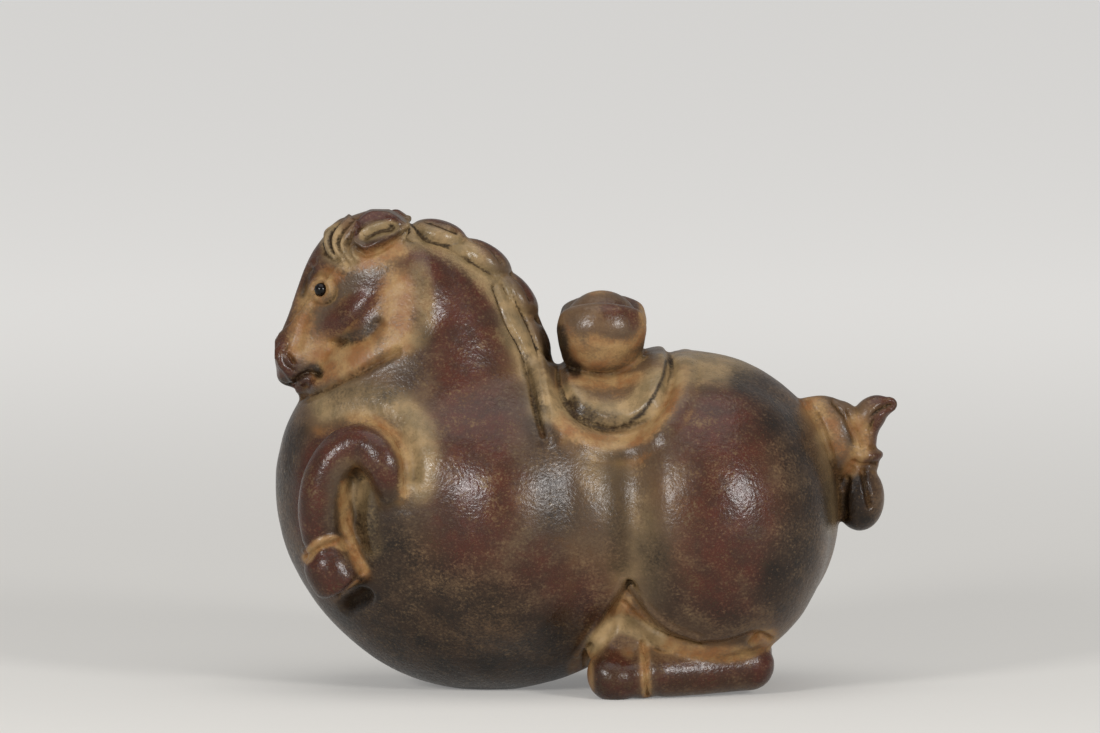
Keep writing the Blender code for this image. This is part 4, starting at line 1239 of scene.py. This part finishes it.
class TeaPetClay(bpy.types.PropertyGroup):
    """Colours and finish of the clay and the beads."""

    khaki: colour_property("Clay", "Bare fired clay", "664e37")
    olive: colour_property("Smoked clay", "Clay where the smoke reached it", "4a3a2b")
    tan: colour_property("Pale clay", "Clay where the wash is thin", "7b694a")
    red_brown: colour_property("Iron red", "Burnished iron wash", "472117")
    plum: colour_property("Plum", "Iron wash where it is thick", "392017")
    ochre: colour_property("Ochre slip", "Slip left in the hollows", "845a35")
    amber: colour_property("Amber slip", "Slip with more iron", "9a7a50")
    straw: colour_property("Straw slip", "Slip where it is thickest", "9c835e")
    # Umber and soot also paint shade: low on the body, in the creases and in the deepest lines and hollows
    umber: colour_property("Umber", "Smoke lying thin over the clay", "291c12")
    soot: colour_property("Soot", "Deepest lines and specks", "100a06")
    bead: colour_property("Bead", "Black glaze", "060504")
    bead_brown: colour_property("Bead tint", "Brown in the glaze", "120a08")
    roughness: amount_property("Roughness", "Of the unburnished clay", 0.32, max=1.0)
    peel_depth: length_property("Peel depth", "Depth of the orange peel", 0.00009, precision=6)


class TeaPetStage(bpy.types.PropertyGroup):
    """Floor, lamps and camera."""

    floor: colour_property("Floor", "Floor and backdrop", "c4c1bb")
    floor_fill: amount_property("Floor fill", "Glow of the floor by the horse, for the camera alone", 0.2)
    far_fill: amount_property("Far fill", "Glow of the floor far from the lamps", 0.52)
    distance: length_property("Camera distance", "From the horse", 3.0)
    height: FloatProperty(
        name="Camera angle", description="Above the horizon", default=math.radians(5.0), unit="ROTATION")
    world_light: amount_property("Room light", "Strength of the light from all round", 0.2)
    backdrop: amount_property("Backdrop", "Brightness of what lies past the floor", 0.38)
    key: amount_property("Key lamp", "Lamp left of the camera", 4.3, unit="POWER")
    fill: amount_property("Fill lamp", "Lamp right of the camera", 4.3, unit="POWER")
    top: amount_property("Top lamp", "Lamp overhead", 3.6, unit="POWER")


# What makes each piece

class TEAPET_OT_horse(bpy.types.Operator):
    """Sculpt the horse, hollow it and lay its patina and painted shade"""

    bl_idname = "tea_pet.horse"
    bl_label = "Horse"

    def execute(self, context):
        form = context.scene.tea_pet_form
        skin = horse_skin(form, form.grain / MM)
        points, normals = read_points(skin)
        deep = form.unevenness / MM
        dents = sum(share * deep * waves(points, size, seed) for share, size, seed in DENTS)
        write_points(skin, points + normals * dents[:, None])
        for name, rounds, full in HOLLOWS:
            write_attribute(skin, name, hollowness(skin, rounds, full))
        skin = thinned(skin, form.triangles)
        source = read_points(skin)[0]
        kept = {name: read_attribute(skin, name) for name, rounds, full in HOLLOWS}
        skin = hollow_out(skin)
        low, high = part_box("horse")
        eyes = {side: eye_centre(node) / MM for side, node in zip(SIDES, EYE_NODES)}
        shift = Vector((eyes[-1].x - EYE_PLACE[0], 0.0, -FLOOR))
        for place in eyes.values():
            skin = cut(skin, ball(place - shift, (SOCKET_RADIUS,) * 3, across=32, up=20))
        for name, values in kept.items():
            fill_new_points(skin, source, values, name)
        lay_patina_and_shade(skin)
        for name in kept:
            skin.attributes.remove(skin.attributes[name])
        points = (read_points(skin)[0] + np.array(shift)) * MM
        points = np.clip(points, np.array(low) + BOX_MARGIN, np.array(high) - BOX_MARGIN)
        write_points(skin, points)
        finish_piece(skin, "horse_clay", burnished_stoneware(context.scene.tea_pet_clay), "clay", "horse")
        return {"FINISHED"}


class TEAPET_OT_eyes(bpy.types.Operator):
    """Set the two glazed beads in their sockets"""

    bl_idname = "tea_pet.eyes"
    bl_label = "Eyes"

    def execute(self, context):
        surface = black_glass_bead(context.scene.tea_pet_clay)
        for node in EYE_NODES:
            low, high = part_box(node)
            radius = (high.x - low.x) / 2
            mesh = ball(eye_centre(node), (radius * BEAD_FIT,) * 3, across=64, up=32)
            finish_piece(mesh, node + "_bead", surface, "bead", node)
        return {"FINISHED"}


class TEAPET_OT_stage(bpy.types.Operator):
    """Lay the floor and backdrop and set the lamps and the camera"""

    bl_idname = "tea_pet.stage"
    bl_label = "Stage"

    def execute(self, context):
        stage = context.scene.tea_pet_stage
        paper = plain_paper("stage_paper", stage)
        lump = bmesh.new()
        bmesh.ops.create_grid(lump, x_segments=2, y_segments=2, size=FLOOR_REACH)
        floor = as_object(as_mesh(lump), "stage_floor")
        floor.data.materials.append(paper)
        world = bpy.data.worlds.new("room")
        context.scene.world = world
        world.use_nodes = True
        tree = world.node_tree
        tree.nodes.clear()
        strength = add_node(tree, "ShaderNodeMapRange", {
            "Value": is_seen(tree), "To Min": stage.world_light, "To Max": stage.backdrop})
        room = add_node(tree, "ShaderNodeBackground", {"Color": (1, 1, 1, 1), "Strength": strength})
        add_node(tree, "ShaderNodeOutputWorld", {"Surface": room})
        for name, azimuth, rise, size, power in (
            ("key_lamp", -35.0, 19.0, 0.19, stage.key),
            ("fill_lamp", 37.0, 17.0, 0.19, stage.fill),
            ("top_lamp", 5.0, 78.0, 0.9, stage.top),
        ):
            lamp = bpy.data.lights.new(name, "AREA")
            lamp.shape = "SQUARE"
            lamp.size = size
            lamp.energy = power
            made = as_object(lamp, name)
            a, e = math.radians(azimuth), math.radians(rise)
            back = Vector((math.sin(a) * math.cos(e), -math.cos(a) * math.cos(e), math.sin(e)))
            made.location = Vector(LAMP_AIM) + back * LAMP_REACH
            made.rotation_euler = (-back).to_track_quat("-Z", "Y").to_euler()
        camera = bpy.data.cameras.new("camera")
        made = as_object(camera, "camera")
        back = Vector((0.0, -math.cos(stage.height), math.sin(stage.height)))
        made.location = Vector(CAMERA_AIM) + back * stage.distance
        made.rotation_euler = (-back).to_track_quat("-Z", "Y").to_euler()
        camera.lens = SENSOR_WIDTH / (VIEW_WIDTH / stage.distance)
        camera.clip_start, camera.clip_end = 0.01, 50.0
        context.scene.camera = made
        context.scene.view_settings.view_transform = "Standard"
        return {"FINISHED"}


class TEAPET_PT_panel(bpy.types.Panel):
    """Sizes, colours and the steps that make the tea pet"""

    bl_label = "Tea Pet"
    bl_idname = "TEAPET_PT_panel"
    bl_space_type = "VIEW_3D"
    bl_region_type = "UI"
    bl_category = "Tea Pet"

    def draw(self, context):
        for group in ("tea_pet_form", "tea_pet_clay", "tea_pet_stage"):
            box = self.layout.box()
            values = getattr(context.scene, group)
            for name in values.__annotations__:
                box.prop(values, name)
        for step_name in ("tea_pet.stage", "tea_pet.horse", "tea_pet.eyes"):
            self.layout.operator(step_name)


GROUPS = {"tea_pet_form": TeaPetForm, "tea_pet_clay": TeaPetClay, "tea_pet_stage": TeaPetStage}
CLASSES = (*GROUPS.values(), TEAPET_OT_horse, TEAPET_OT_eyes, TEAPET_OT_stage, TEAPET_PT_panel)


def register():
    for kind in CLASSES:
        bpy.utils.register_class(kind)
    for name, kind in GROUPS.items():
        setattr(bpy.types.Scene, name, PointerProperty(type=kind))


def unregister():
    for name in GROUPS:
        delattr(bpy.types.Scene, name)
    for kind in reversed(CLASSES):
        bpy.utils.unregister_class(kind)


def main():
    register()
    bpy.ops.tea_pet.stage()
    bpy.ops.tea_pet.horse()
    bpy.ops.tea_pet.eyes()


if __name__ == "__main__":
    main()
